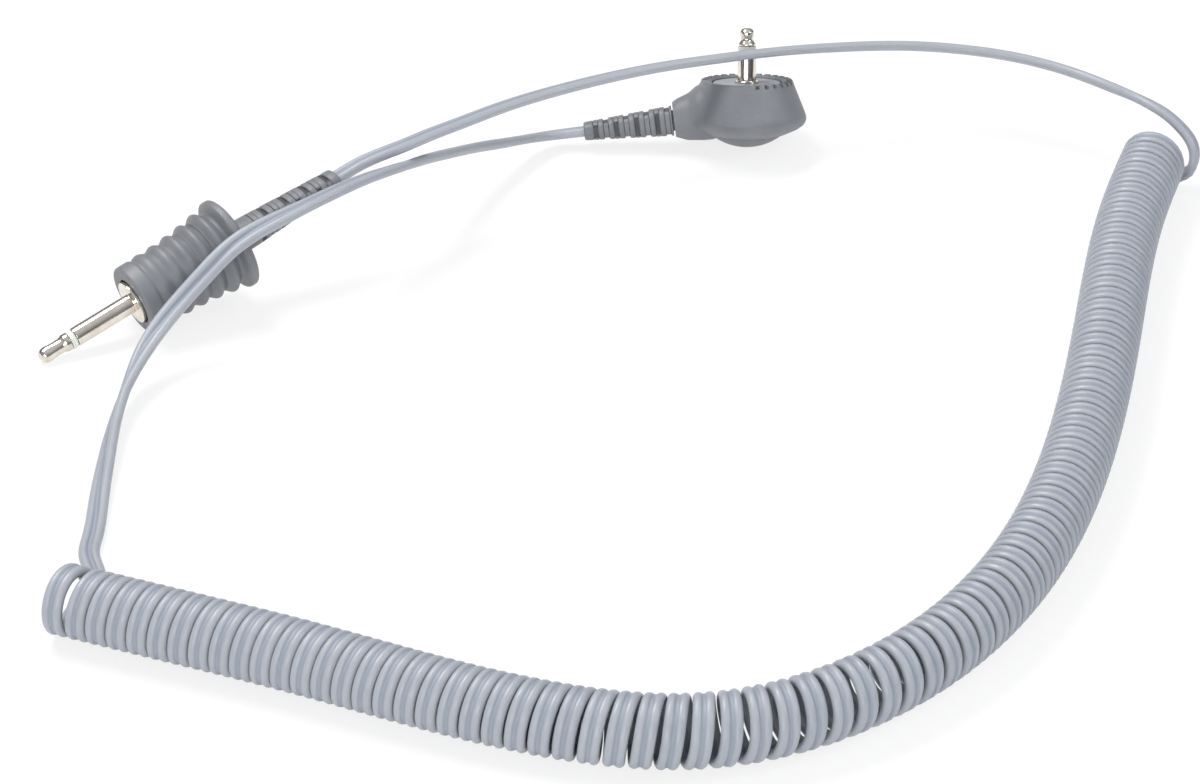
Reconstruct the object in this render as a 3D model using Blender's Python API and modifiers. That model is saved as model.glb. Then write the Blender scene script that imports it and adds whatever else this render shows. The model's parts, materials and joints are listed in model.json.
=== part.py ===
"""Coiled ground cord of a two-conductor wrist strap, as it lies on a bench.

One unbroken twin cord joins two plugs: a straight jack plug with a ribbed grip, and an
elbow plug with a round, notched head that a wristband holds. Each conductor passes a
safety resistor inside the elbow plug. Most of the cord is wound into tight curls; a flat
lead runs from each end of the curls to a plug.

Metres, +Z up, with the bench at Z = 0. The origin is below the middle of the two plugs.
"""

import math

import bmesh
import bpy
import numpy as np
from mathutils import Matrix, Vector

MM = 0.001

# --- Clearances -------------------------------------------------------------------
seat_gap = 0.3 * MM  # between faces that meet
fit_gap = 0.15 * MM  # all round a turned piece inside another

# --- Cord -------------------------------------------------------------------------
cord_width = 3.1 * MM  # across both conductors
cord_thickness = 1.7 * MM
conductor_diameter = 1.5 * MM
conductor_spacing = 1.8 * MM

coil_outer_diameter = 12.0 * MM
coil_lift = 0.02 * MM
coil_turns = 83  # whole turns, from the bottom of the first
coil_last_turn = 30.0  # degrees past the bottom, where the cord leaves the last turn
coil_points_per_turn = 8
coil_splay = 1.0 * MM  # how far the first turn leans away from the second, at its top
coil_tail_front = 8.0 * MM  # straight cord under the first turn
coil_tail_back = 1.5 * MM  # straight cord that leaves the last turn

# Turn, and the spacing there: closed at first, fanned out round the bend, then slack.
coil_pitches = (
    (0.0, 3.63 * MM),
    (21.0, 3.63 * MM),
    (27.0, 3.88 * MM),
    (31.0, 4.24 * MM),
    (36.0, 4.40 * MM),
    (41.0, 4.08 * MM),
    (46.0, 3.95 * MM),
    (54.0, 3.79 * MM),
    (60.0, 3.81 * MM),
    (64.0, 3.93 * MM),
    (72.0, 3.74 * MM),
    (78.0, 3.74 * MM),
    (83.0, 4.00 * MM),
)

# The coil's axis in plan, millimetres.
coil_axis_points = (
    (-56.3, -126.0),
    (-37.2, -133.9),
    (-18.7, -141.7),
    (17.8, -157.7),
    (46.8, -161.9),
    (73.8, -149.2),
    (97.8, -117.7),
    (110.8, -80.2),
    (118.8, -40.7),
    (126.6, -1.2),
    (132.4, 18.7),
)

# The free leads between their straight ends: X, Y, Z in millimetres.
jack_lead_points = (
    (-5.8, -2.9, 20.5),
    (-1.2, 0.6, 20.8),
    (3.4, 4.1, 20.9),
    (12.7, 11.6, 20.8),
    (22.1, 17.9, 20.6),
    (31.6, 23.4, 20.3),
    (41.3, 28.2, 19.9),
    (51.0, 32.1, 19.4),
    (63.4, 36.5, 18.7),
    (74.7, 39.6, 17.9),
    (86.1, 41.7, 17.1),
    (97.4, 41.8, 16.3),
    (108.6, 39.7, 15.5),
    (119.4, 34.4, 14.8),
    (124.7, 30.6, 14.4),
    (129.4, 27.8, 13.6),
    (132.1, 25.3, 13.3),
    (134.9, 22.8, 12.5),
    (136.7, 21.3, 11.4),
    (138.3, 20.0, 10.0),
    (139.3, 18.8, 8.5),
    (139.6, 17.8, 6.6),
    (138.7, 16.9, 4.2),
)
elbow_lead_points = (
    (17.1, 30.0, 3.8),
    (12.3, 24.3, 6.0),
    (7.6, 18.1, 8.6),
    (3.1, 10.7, 11.6),
    (-1.4, 2.5, 14.9),
    (-5.8, -5.8, 17.9),
    (-12.3, -14.7, 20.3),
    (-18.7, -21.5, 20.8),
    (-26.1, -27.6, 20.0),
    (-33.9, -33.2, 17.9),
    (-39.8, -38.3, 14.0),
    (-48.2, -47.6, 7.2),
    (-51.3, -55.9, 4.2),
    (-53.1, -66.0, 2.4),
    (-53.8, -77.6, 1.7),
    (-54.1, -89.0, 1.1),
    (-54.3, -100.8, 0.9),
    (-54.4, -105.3, 0.9),
)
lead_straight_end = 5.0 * MM
lead_points_every = (8.0 * MM, 17.0)  # of length, and of turn in degrees
wire_points_every = (4.0 * MM, 20.0)
jack_lead_straight_at_coil = 2.0 * MM
elbow_lead_straight_at_coil = 5.0 * MM

# Share of a lead's length, and which way its wide side faces there.
jack_lead_twist = ((0.6, (0.0, -0.85, 0.53)), (0.85, (0.0, -0.85, 0.53)))
elbow_lead_twist = (
    (0.42, (-0.5, 0.75, -0.13)),
    (0.70, (-0.76, -0.11, 0.63)),
    (0.86, (-0.92, 0.38, 0.0)),
)

# --- Pins -------------------------------------------------------------------------
pin_diameter = 3.5 * MM
pin_bore = 2.5 * MM
rod_diameter = 1.1 * MM
rivet_diameter = 1.9 * MM
rivet_height = 0.5 * MM
ring_diameter = 3.4 * MM
lug_thickness = 0.4 * MM
lug_outer_diameter = 4.8 * MM
washer_thickness = 0.7 * MM
washer_diameter = 3.0 * MM
tip_lug_diameter = 2.9 * MM

jack_pin_length = 19.3 * MM  # seat to end
jack_tip_length = 6.0 * MM
jack_ring_length = 1.3 * MM
jack_collar_diameter = 8.0 * MM
jack_collar_thickness = 1.2 * MM
jack_barrel_diameter = 4.8 * MM
jack_barrel_end = 3.6 * MM  # below the seat
jack_sleeve_strip_end = 10.0 * MM  # below the seat
jack_tip_strip_end = 12.5 * MM
jack_wire_bend = 3.0 * MM  # from a strip's end to where its wire turns in

elbow_pin_length = 10.0 * MM
elbow_tip_length = 3.3 * MM
elbow_ring_length = 1.0 * MM
elbow_shoulder_diameter = 4.2 * MM
elbow_flange_diameter = 6.4 * MM
elbow_flange_thickness = 0.8 * MM

# --- Jack grip, measured back from the pin's seat -----------------------------------
grip_front = 0.5 * MM
grip_front_diameter = 13.2 * MM
grip_bore = 9.8 * MM
grip_first_rib = 5.2 * MM
grip_rib_pitch = 3.08 * MM
grip_ribs = 5
grip_rib_diameters = (13.5 * MM, 15.7 * MM)  # first and last
grip_rib_depth = 0.85 * MM
grip_flange_at = 20.95 * MM
grip_flange_diameter = 17.2 * MM
grip_flange_thickness = 2.0 * MM
grip_flange_round = 0.6 * MM
grip_rear_wall = 1.1 * MM
core_wall = 1.2 * MM

# --- Strain-relief boots --------------------------------------------------------------
section_power = 2.6  # 2 is an ellipse, more is squarer
boot_front_width = 6.0 * MM
boot_front_height = 5.6 * MM
boot_rear_width = 4.8 * MM
boot_rear_height = 3.3 * MM
boot_bore_width = 3.75 * MM
boot_bore_height = 1.95 * MM
boot_core_wall = 0.25 * MM  # left round the bore at the bottom of a slot
boot_slot_width = 0.85 * MM
boot_slots = 8
jack_boot_length = 22.3 * MM
jack_boot_first_slot = 4.75 * MM
jack_boot_slot_pitch = 2.18 * MM
jack_boot_root_diameter = 8.4 * MM
jack_boot_root_length = 2.3 * MM
elbow_boot_length = 16.7 * MM
elbow_boot_first_slot = 0.9 * MM
elbow_boot_slot_pitch = 1.93 * MM
elbow_boot_root = (4.4 * MM, 3.8 * MM, 2.6 * MM)  # width, height, length

# --- Elbow head, measured up from the lowest point of its dome --------------------------
dome_diameter = 13.0 * MM
dome_height = 2.2 * MM
head_diameter = 22.5 * MM
head_widest_at = 5.3 * MM
head_height = 12.6 * MM
rim_diameter = 17.1 * MM
rim_width = 0.95 * MM
recess_diameter = 13.2 * MM
recess_edge_at = 12.2 * MM
deck_top = 11.0 * MM
deck_thickness = 1.2 * MM
cavity_diameter = 16.4 * MM
floor_plate_thickness = 0.8 * MM
rim_notches = 30
rim_notch_width = 0.8 * MM
rim_notch_depth = 0.65 * MM
neck_end = 13.6 * MM  # from the pin's axis to the boot
neck_height_at_boot = 4.9 * MM
neck_bore_width = 5.0 * MM
neck_bore_height = 4.4 * MM
neck_mouth_width = 8.0 * MM  # where the wires spread into the head

resistor_length = 4.6 * MM
resistor_diameter = 1.9 * MM
resistor_wire_diameter = 0.6 * MM
resistor_wire_length = 1.6 * MM
resistor_offset = 4.6 * MM

# --- Where the plugs lie ----------------------------------------------------------------
jack_tip_x = -68.2 * MM
jack_tip_y = -44.3 * MM
jack_tip_z = 1.13 * MM
jack_heading = 34.2  # degrees from +X, of the line from tip to boot
jack_rise = 15.2  # degrees above the bench
jack_roll = 9.0  # degrees, turns the cord's flat side to the front
elbow_x = 57.3 * MM
elbow_y = 32.5 * MM
elbow_lean = 20.0  # degrees, away from the front
elbow_boot_droop = 7.0  # degrees, until the boot's end nears the bench

COLOURS = {
    "cord_grey": ((0.40, 0.42, 0.47), 0.45, 0.0),
    "plug_grey": ((0.19, 0.20, 0.22), 0.55, 0.0),
    "plate_grey": ((0.42, 0.43, 0.47), 0.5, 0.0),
    "nickel": ((0.83, 0.79, 0.73), 0.12, 1.0),
    "insulator": ((0.72, 0.75, 0.71), 0.35, 0.0),
    "liner_white": ((0.80, 0.80, 0.78), 0.5, 0.0),
    "tin": ((0.70, 0.70, 0.72), 0.3, 1.0),
    "resistor": ((0.46, 0.55, 0.62), 0.4, 0.0),
    "wire_red": ((0.45, 0.05, 0.04), 0.4, 0.0),
    "wire_black": ((0.03, 0.03, 0.03), 0.4, 0.0),
}


# --- Scene and object helpers -------------------------------------------------------------
def clear_scene():
    for obj in list(bpy.data.objects):
        bpy.data.objects.remove(obj)


def new_collection(name):
    collection = bpy.data.collections.new(name)
    bpy.context.scene.collection.children.link(collection)
    return collection


def make_materials():
    made = {}
    for name, (colour, roughness, metallic) in COLOURS.items():
        material = bpy.data.materials.new(name)
        material.use_nodes = True
        shader = material.node_tree.nodes["Principled BSDF"]
        shader.inputs["Base Color"].default_value = (*colour, 1.0)
        shader.inputs["Roughness"].default_value = roughness
        shader.inputs["Metallic"].default_value = metallic
        made[name] = material
    return made


def add_object(name, data, frame=None, material=None):
    """Links the data as an object of the part, carried by a frame if one is given."""
    obj = bpy.data.objects.new(name, data)
    parts.objects.link(obj)
    obj.parent = frame
    if material:
        data.materials.append(materials[material])
    return obj


def add_frame(name, location, rotation, parent=None):
    empty = bpy.data.objects.new(name, None)
    empty.location = location
    empty.rotation_euler = rotation
    empty.parent = parent
    parts.objects.link(empty)
    bpy.context.view_layer.update()
    return empty


def smooth(mesh, angle=40.0):
    mesh.shade_smooth()
    mesh.set_sharp_from_angle(angle=math.radians(angle))


def mesh_from_bmesh(name, bm):
    bmesh.ops.recalc_face_normals(bm, faces=bm.faces)
    mesh = bpy.data.meshes.new(name)
    bm.to_mesh(mesh)
    bm.free()
    smooth(mesh)
    return mesh


def turned(name, profile, frame, material, steps=24):
    """A solid turned round Z. The profile of (radius, height) runs down the outer side;
    a profile that ends on the axis is a solid, any other is closed into a ring."""
    mesh = bpy.data.meshes.new(name)
    edges = [(i, i + 1) for i in range(len(profile) - 1)]
    on_axis = profile[0][0] == 0 and profile[-1][0] == 0
    if not on_axis:
        edges.append((len(profile) - 1, 0))
    mesh.from_pydata([(radius, 0, height) for radius, height in profile], edges, [])
    obj = add_object(name, mesh, frame, material)
    screw = obj.modifiers.new("turn", "SCREW")
    screw.steps = screw.render_steps = steps
    screw.use_merge_vertices = True
    screw.merge_threshold = 0.00001
    screw.use_smooth_shade = True
    return obj


def section_ring(bm, distance, width, height, lift, sides):
    """One rounded-rectangle loop across Z, with its width along Y and its height along X."""
    ring = []
    for i in range(sides):
        turn = 2 * math.pi * (i + 0.5) / sides
        across = math.copysign(abs(math.cos(turn)) ** (2 / section_power), math.cos(turn))
        up = math.copysign(abs(math.sin(turn)) ** (2 / section_power), math.sin(turn))
        ring.append(bm.verts.new((lift + up * height / 2, across * width / 2, distance)))
    return ring


def bridge(bm, first, second):
    for i in range(len(first)):
        j = (i + 1) % len(first)
        bm.faces.new((first[i], first[j], second[j], second[i]))


def lofted(name, sections, frame, material, bore=None, sides=16):
    """A body through sections of (distance along Z, width, height, lift). With a bore of
    (width, height) a channel of that size runs the whole length."""
    bm = bmesh.new()
    rings = [section_ring(bm, *section, sides) for section in sections]
    for first, second in zip(rings, rings[1:]):
        bridge(bm, first, second)
    if bore:
        ends = [
            section_ring(bm, section[0], *bore, section[3], sides)
            for section in (sections[0], sections[-1])
        ]
        bridge(bm, ends[0], rings[0])
        bridge(bm, rings[-1], ends[1])
        bridge(bm, ends[1], ends[0])
    else:
        bm.faces.new(rings[0])
        bm.faces.new(rings[-1])
    return add_object(name, mesh_from_bmesh(name, bm), frame, material)


def box_into(bm, size, centre, turn=0.0):
    """Adds a box of a full size at a centre, turned round Z through its own origin."""
    matrix = Matrix.Rotation(turn, 4, "Z") @ Matrix.Translation(centre)
    bmesh.ops.create_cube(bm, size=1.0, matrix=matrix @ Matrix.Diagonal((*size, 1.0)))


def boolean(target, other, operation):
    """Joins or cuts with another object, which becomes a helper that isn't rendered."""
    for collection in list(other.users_collection):
        collection.objects.unlink(other)
    helpers.objects.link(other)
    other.hide_render = True
    other.display_type = "WIRE"
    modifier = target.modifiers.new(other.name, "BOOLEAN")
    modifier.operation = operation
    modifier.object = other


# --- Smooth routes ---------------------------------------------------------------------------
def spline_through(points):
    """A natural cubic through the points, by chord length: returns (knots, function)."""
    points = np.asarray(points, float)
    knots = np.concatenate([[0.0], np.cumsum(np.linalg.norm(np.diff(points, axis=0), axis=1))])
    count = len(points)
    step = np.diff(knots)
    matrix = np.eye(count)
    right = np.zeros_like(points)
    for i in range(1, count - 1):
        matrix[i, i - 1 : i + 2] = step[i - 1], 2 * (step[i - 1] + step[i]), step[i]
        slope_after = (points[i + 1] - points[i]) / step[i]
        slope_before = (points[i] - points[i - 1]) / step[i - 1]
        right[i] = 6 * (slope_after - slope_before)
    bend = np.linalg.solve(matrix, right)

    def at(where):
        where = np.atleast_1d(where)
        i = np.clip(np.searchsorted(knots, where) - 1, 0, count - 2)
        a = ((knots[i + 1] - where) / step[i])[:, None]
        b = 1 - a
        h = (step[i] ** 2 / 6)[:, None]
        return a * points[i] + b * points[i + 1] + h * ((a**3 - a) * bend[i] + (b**3 - b) * bend[i + 1])

    return knots, at


def points_along(points, every):
    """Points along the smooth curve through the given ones: one for each given length or
    each given turn, so that they crowd where it bends."""
    length, turn = every
    knots, at = spline_through(points)
    fine = at(np.linspace(0, knots[-1], 2000))
    stretches = np.diff(fine, axis=0)
    lengths = np.linalg.norm(stretches, axis=1)
    stretches /= lengths[:, None]
    cosines = np.clip(np.sum(stretches[1:] * stretches[:-1], axis=1), -1, 1)
    turns = np.append(np.degrees(np.arccos(cosines)), 0.0)
    share = np.concatenate([[0.0], np.cumsum(lengths / length + turns / turn)])
    wanted = np.linspace(0, share[-1], math.ceil(share[-1]) + 1)
    return np.column_stack([np.interp(wanted, share, fine[:, k]) for k in range(3)])


def directions_along(points):
    """At each point, the mean direction of the two stretches that meet there."""
    stretches = np.diff(points, axis=0)
    stretches /= np.linalg.norm(stretches, axis=1)[:, None]
    inner = stretches[:-1] + stretches[1:]
    inner /= np.linalg.norm(inner, axis=1)[:, None]
    return np.vstack([stretches[:1], inner, stretches[-1:]])


def flat_cord(name, points, wide):
    """The flat cord as a curve: two bevelled edges with an extrusion between them, each
    point tilted so that the wide side follows the wanted direction."""
    curve = bpy.data.curves.new(name, "CURVE")
    curve.dimensions = "3D"
    curve.twist_mode = "Z_UP"
    curve.bevel_depth = cord_thickness / 2
    curve.extrude = (cord_width - cord_thickness) / 2
    curve.bevel_resolution = 0
    curve.use_fill_caps = True
    spline = curve.splines.new("POLY")
    spline.points.add(len(points) - 1)
    for point, place, along, across in zip(spline.points, points, directions_along(points), wide):
        upright = np.array([0.0, 0.0, 1.0]) - along[2] * along
        across = across - (across @ along) * along
        point.co = (*place, 1.0)
        point.tilt = math.atan2(np.cross(upright, across) @ along, upright @ across)
    return add_object(name, curve, None, "cord_grey")


# --- Curls ---------------------------------------------------------------------------------------
def curl_route():
    """Centreline of the curly cord and, at each point, the way its wide side faces."""
    radius = (coil_outer_diameter - cord_thickness) / 2
    axis_height = coil_outer_diameter / 2 + coil_lift
    knots, at = spline_through(np.array(coil_axis_points) * MM)
    fine = at(np.linspace(0, knots[-1], 4000))
    steps = np.linalg.norm(np.diff(fine, axis=0), axis=1)
    arc = np.concatenate([[0.0], np.cumsum(steps)])
    all_turns = coil_turns + coil_last_turn / 360
    count = np.linspace(0, all_turns, 4000)
    pitch = np.interp(count, *np.transpose(coil_pitches))
    reached = np.concatenate([[0.0], np.cumsum((pitch[1:] + pitch[:-1]) / 2 * np.diff(count))])
    turned_so_far = np.interp(arc, reached * arc[-1] / reached[-1], count)

    step = 1 / coil_points_per_turn
    turns = np.append(np.arange(0, all_turns, step), all_turns)
    centre = np.column_stack([np.interp(turns, turned_so_far, fine[:, k]) for k in range(2)])
    ahead = np.gradient(fine, axis=0)
    ahead = np.column_stack([np.interp(turns, turned_so_far, ahead[:, k]) for k in range(2)])
    ahead /= np.linalg.norm(ahead, axis=1)[:, None]
    beside = np.column_stack([-ahead[:, 1], ahead[:, 0]])
    angle = 2 * math.pi * turns
    splay = np.where(turns < 1, coil_splay * np.sin(angle / 2) ** 2, 0.0)
    route = np.column_stack(
        [
            centre - radius * np.sin(angle)[:, None] * beside - splay[:, None] * ahead,
            axis_height - radius * np.cos(angle),
        ]
    )
    wide = np.column_stack([ahead, np.zeros(len(turns))])

    advance = 1 / np.gradient(turned_so_far, arc)
    front_step = np.append(-radius * 2 * math.pi * beside[0] + advance[0] * ahead[0], 0.0)
    front = route[0] - coil_tail_front * front_step / np.linalg.norm(front_step)
    last = angle[-1]
    back_step = np.append(
        -radius * 2 * math.pi * math.cos(last) * beside[-1] + advance[-1] * ahead[-1],
        radius * 2 * math.pi * math.sin(last),
    )
    back = route[-1] + coil_tail_back * back_step / np.linalg.norm(back_step)
    route = np.vstack([front, route, back])
    wide = np.vstack([wide[:1], wide, wide[-1:]])
    return route, wide


def least_gap(route, wide):
    """Least distance between the cord's edges on neighbouring turns, on points along them."""
    half = wide * cord_width / 2
    edges = []
    for side in (half, -half):
        line = route + side
        between = [line[:-1] + (line[1:] - line[:-1]) * share for share in (0, 0.25, 0.5, 0.75)]
        edges.append(np.stack(between, axis=1).reshape(-1, 3))
    per_turn = 4 * coil_points_per_turn
    least = math.inf
    for start in range(len(edges[0]) - per_turn):
        later = edges[1][start + per_turn // 2 : start + 3 * per_turn // 2]
        least = min(least, np.linalg.norm(later - edges[0][start], axis=1).min())
    return least


def make_curly_cord():
    route, wide = curl_route()
    flat_cord("curly_cord", route, wide)
    length = np.linalg.norm(np.diff(route, axis=0), axis=1).sum()
    print(f"curly_cord: {length:.3f} m of cord, least gap {least_gap(route, wide) / MM:.2f} mm")
    return route, wide


# --- Pins ---------------------------------------------------------------------------------------
def stack_under(end):
    """Heights of the pieces riveted under a pin whose barrel ends there, from the top."""
    sleeve_lug = end - fit_gap
    washer = sleeve_lug - lug_thickness - fit_gap
    tip_lug = washer - washer_thickness - fit_gap
    rivet = tip_lug - lug_thickness - fit_gap
    return {"sleeve_lug": sleeve_lug, "washer": washer, "tip_lug": tip_lug, "rivet": rivet}


def make_pin(prefix, frame, tip_profile, length, tip_length, ring_length, seat_profile):
    """Tip with its rod, insulator, sleeve and rear washer, with the seat at Z = 0. The tip
    profile runs from its end down to its base, and the seat profile from the seat down to
    the end of the barrel."""
    barrel_end = seat_profile[-1][1]
    stack = stack_under(barrel_end)
    tip_base = length - tip_length
    ring_top = tip_base - fit_gap
    ring_bottom = ring_top - ring_length + 2 * fit_gap
    rod = rod_diameter / 2
    liner_inside = rod + fit_gap
    liner_outside = pin_bore / 2 - fit_gap
    rivet = rivet_diameter / 2
    turned(
        f"{prefix}_tip",
        [(0, length)]
        + [(radius, length - back) for radius, back in tip_profile]
        + [
            (rod, tip_base),
            (rod, stack["rivet"]),
            (rivet, stack["rivet"]),
            (rivet, stack["rivet"] - rivet_height),
            (0, stack["rivet"] - rivet_height),
        ],
        frame,
        "nickel",
        16,
    )
    turned(
        f"{prefix}_insulator",
        [
            (liner_inside, ring_top),
            (ring_diameter / 2, ring_top),
            (ring_diameter / 2, ring_bottom),
            (liner_outside, ring_bottom),
            (liner_outside, barrel_end),
            (liner_inside, barrel_end),
        ],
        frame,
        "insulator",
        16,
    )
    turned(
        f"{prefix}_sleeve",
        [(pin_bore / 2, ring_bottom - fit_gap), (pin_diameter / 2, ring_bottom - fit_gap)]
        + [(pin_diameter / 2, 0)]
        + seat_profile
        + [(pin_bore / 2, barrel_end)],
        frame,
        "nickel",
        24,
    )
    washer_bottom = stack["washer"] - washer_thickness
    turned(
        f"{prefix}_washer",
        [
            (liner_inside, stack["washer"]),
            (washer_diameter / 2, stack["washer"]),
            (washer_diameter / 2, washer_bottom),
            (liner_inside, washer_bottom),
        ],
        frame,
        "liner_white",
        12,
    )
    return stack


def make_lug(name, frame, top, hole, outside, strip_size, strip_centre, turn):
    """A solder lug: a washer with a strip that leads off to a wire."""
    lug = turned(
        name,
        [
            (hole, top),
            (outside, top),
            (outside, top - lug_thickness),
            (hole, top - lug_thickness),
        ],
        frame,
        "tin",
        16,
    )
    bm = bmesh.new()
    box_into(bm, strip_size, strip_centre, turn)
    strip = add_object(f"{name}_strip", mesh_from_bmesh(name, bm), frame)
    boolean(lug, strip, "UNION")


def make_wire(name, points, frame, material):
    """An insulated conductor along a smooth route."""
    curve = bpy.data.curves.new(name, "CURVE")
    curve.dimensions = "3D"
    curve.bevel_depth = conductor_diameter / 2
    curve.bevel_resolution = 1
    curve.use_fill_caps = True
    places = points_along(points, wire_points_every)
    spline = curve.splines.new("POLY")
    spline.points.add(len(places) - 1)
    for point, place in zip(spline.points, places):
        point.co = (*place, 1.0)
    add_object(name, curve, frame, material)


# --- Boots ---------------------------------------------------------------------------------------
def make_boot(name, frame, length, first_slot, pitch, edges_first, root_sections):
    """A tapered strain relief along -Z with its front face at Z = 0, and slots cut turn and
    turn about into its flat sides and its edges so that it bends."""
    smooth_end = first_slot - boot_slot_width / 2
    sections = root_sections + [
        (0.0, boot_front_width, boot_front_height, 0.0),
        (-smooth_end / 2, boot_front_width, boot_front_height, 0.0),
        (-length, boot_rear_width, boot_rear_height, 0.0),
    ]
    boot = lofted(
        name, sections, frame, "plug_grey", bore=(boot_bore_width, boot_bore_height), sides=16
    )
    reach = boot_front_width
    core_width = boot_bore_width + 2 * boot_core_wall
    core_height = boot_bore_height + 2 * boot_core_wall
    bm = bmesh.new()
    for i in range(boot_slots):
        at = -(first_slot + i * pitch)
        for side in (-1, 1):
            if i % 2 == edges_first:
                centre = (side * (core_height + reach) / 2, 0, at)
                size = (reach, 2 * reach, boot_slot_width)
            else:
                centre = (0, side * (core_width + reach) / 2, at)
                size = (2 * reach, reach, boot_slot_width)
            box_into(bm, size, centre)
    slots = add_object(f"{name}_slots", mesh_from_bmesh(f"{name}_slots", bm), frame)
    boolean(boot, slots, "DIFFERENCE")


def frame_point(frame, point):
    return np.array(frame.matrix_world @ Vector(point))


def frame_direction(frame, direction):
    return np.array(frame.matrix_world.to_3x3() @ Vector(direction))


# --- Jack plug -----------------------------------------------------------------------------------
def grip_profile():
    """Ribs that swell towards the rear flange, then back along the bore."""
    front = -grip_front
    profile = [
        (grip_front_diameter / 2 - 0.35 * MM, front),
        (grip_front_diameter / 2, front - 0.35 * MM),
    ]
    first, last = (d / 2 for d in grip_rib_diameters)
    half = grip_rib_pitch / 2
    for i in range(grip_ribs):
        radius = first + (last - first) * (i / (grip_ribs - 1)) ** 2
        top = -(grip_first_rib + i * grip_rib_pitch)
        profile += [
            (radius - grip_rib_depth, top + half * 0.9),
            (radius - grip_rib_depth * 0.35, top + half * 0.55),
            (radius, top + half * 0.2),
            (radius, top - half * 0.2),
            (radius - grip_rib_depth * 0.35, top - half * 0.55),
        ]
    rim = grip_flange_diameter / 2
    root = last - grip_rib_depth
    front_face = -grip_flange_at + grip_flange_thickness / 2
    rear_face = -grip_flange_at - grip_flange_thickness / 2
    profile += [
        (root, front_face + 0.5 * MM),
        (rim - grip_flange_round, front_face),
        (rim, front_face - grip_flange_round),
        (rim, rear_face + grip_flange_round),
        (rim - grip_flange_round, rear_face),
    ]
    rear_hole = boot_front_width / 2 + seat_gap
    collar_hole = jack_collar_diameter / 2 + seat_gap
    wall = rear_face + grip_rear_wall
    profile += [
        (rear_hole, rear_face),
        (rear_hole, wall),
        (grip_bore / 2, wall),
        (grip_bore / 2, -jack_collar_thickness),
        (collar_hole, -jack_collar_thickness),
        (collar_hole, front),
    ]
    return profile, wall, rear_face


def make_jack():
    heading = math.radians(jack_heading)
    rise = math.radians(jack_rise)
    along = Vector(
        (math.cos(rise) * math.cos(heading), math.cos(rise) * math.sin(heading), math.sin(rise))
    )
    turn = Matrix.Rotation(heading + math.pi, 3, "Z") @ Matrix.Rotation(math.pi / 2 + rise, 3, "Y")
    turn = turn @ Matrix.Rotation(math.radians(jack_roll), 3, "Z")
    seat = Vector((jack_tip_x, jack_tip_y, jack_tip_z)) + along * jack_pin_length
    frame = add_frame("jack_frame", seat, turn.to_euler())

    tip_profile = [
        (0.75 * MM, 0.15 * MM),
        (1.2 * MM, 0.5 * MM),
        (1.45 * MM, 1.1 * MM),
        (1.45 * MM, 1.9 * MM),
        (1.35 * MM, 2.4 * MM),
        (1.35 * MM, 4.7 * MM),
        (1.65 * MM, 5.1 * MM),
        (1.65 * MM, jack_tip_length),
    ]
    seat_profile = [
        (jack_collar_diameter / 2, 0),
        (jack_collar_diameter / 2, -jack_collar_thickness),
        (jack_barrel_diameter / 2, -jack_collar_thickness),
        (jack_barrel_diameter / 2, -jack_barrel_end),
    ]
    stack = make_pin(
        "jack", frame, tip_profile, jack_pin_length, jack_tip_length, jack_ring_length, seat_profile
    )
    strip_width = 1.5 * MM
    sleeve_strip_at = lug_outer_diameter / 2 - lug_thickness
    tip_strip_at = lug_thickness / 2 - tip_lug_diameter / 2
    for which, hole, outside, strip_at, end in (
        ("sleeve", pin_bore, lug_outer_diameter, sleeve_strip_at, -jack_sleeve_strip_end),
        ("tip", rod_diameter + 2 * fit_gap, tip_lug_diameter, tip_strip_at, -jack_tip_strip_end),
    ):
        top = stack[f"{which}_lug"]
        size = (lug_thickness, strip_width, top - 0.1 * MM - end)
        centre = (strip_at, 0, (top - 0.1 * MM + end) / 2)
        make_lug(f"jack_{which}_lug", frame, top, hole / 2, outside / 2, size, centre, 0.0)

    profile, wall, rear_face = grip_profile()
    turned("jack_grip", profile, frame, "plug_grey", 24)
    core_front = -jack_collar_thickness - seat_gap
    root_rear = wall + seat_gap
    root_front = root_rear + jack_boot_root_length
    core_rear = root_front + seat_gap
    core_outside = grip_bore / 2 - seat_gap
    barrel_hole = jack_barrel_diameter / 2 + seat_gap
    turned(
        "jack_core",
        [
            (barrel_hole, core_front),
            (core_outside, core_front),
            (core_outside, core_rear),
            (core_outside - core_wall, core_rear),
            (core_outside - core_wall, core_front - core_wall),
            (barrel_hole, core_front - core_wall),
        ],
        frame,
        "liner_white",
        16,
    )

    boot_frame = add_frame("jack_boot_frame", (0, 0, rear_face), (0, 0, 0), frame)
    root = jack_boot_root_diameter
    neck = root_rear - rear_face
    make_boot(
        "jack_boot",
        boot_frame,
        jack_boot_length,
        jack_boot_first_slot,
        jack_boot_slot_pitch,
        True,
        [
            (neck + jack_boot_root_length, root, root, 0.0),
            (neck, root, root, 0.0),
            (neck - 0.02 * MM, boot_front_width, boot_front_height, 0.0),
        ],
    )
    cord_end = rear_face - jack_boot_length
    half = conductor_spacing / 2
    for name, side, target, end, material in (
        ("jack_sleeve_wire", 1, sleeve_strip_at, -jack_sleeve_strip_end, "wire_black"),
        ("jack_tip_wire", -1, tip_strip_at, -jack_tip_strip_end, "wire_red"),
    ):
        make_wire(
            name,
            [(0, side * half, place) for place in np.linspace(cord_end, root_front, 9)]
            + [
                (target * 0.75, side * half * 0.3, end - jack_wire_bend),
                (target, 0, end - seat_gap),
            ],
            frame,
            material,
        )
    exit_frame = add_frame("jack_exit", (0, 0, -jack_boot_length), (0, 0, 0), boot_frame)
    return exit_frame


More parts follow.
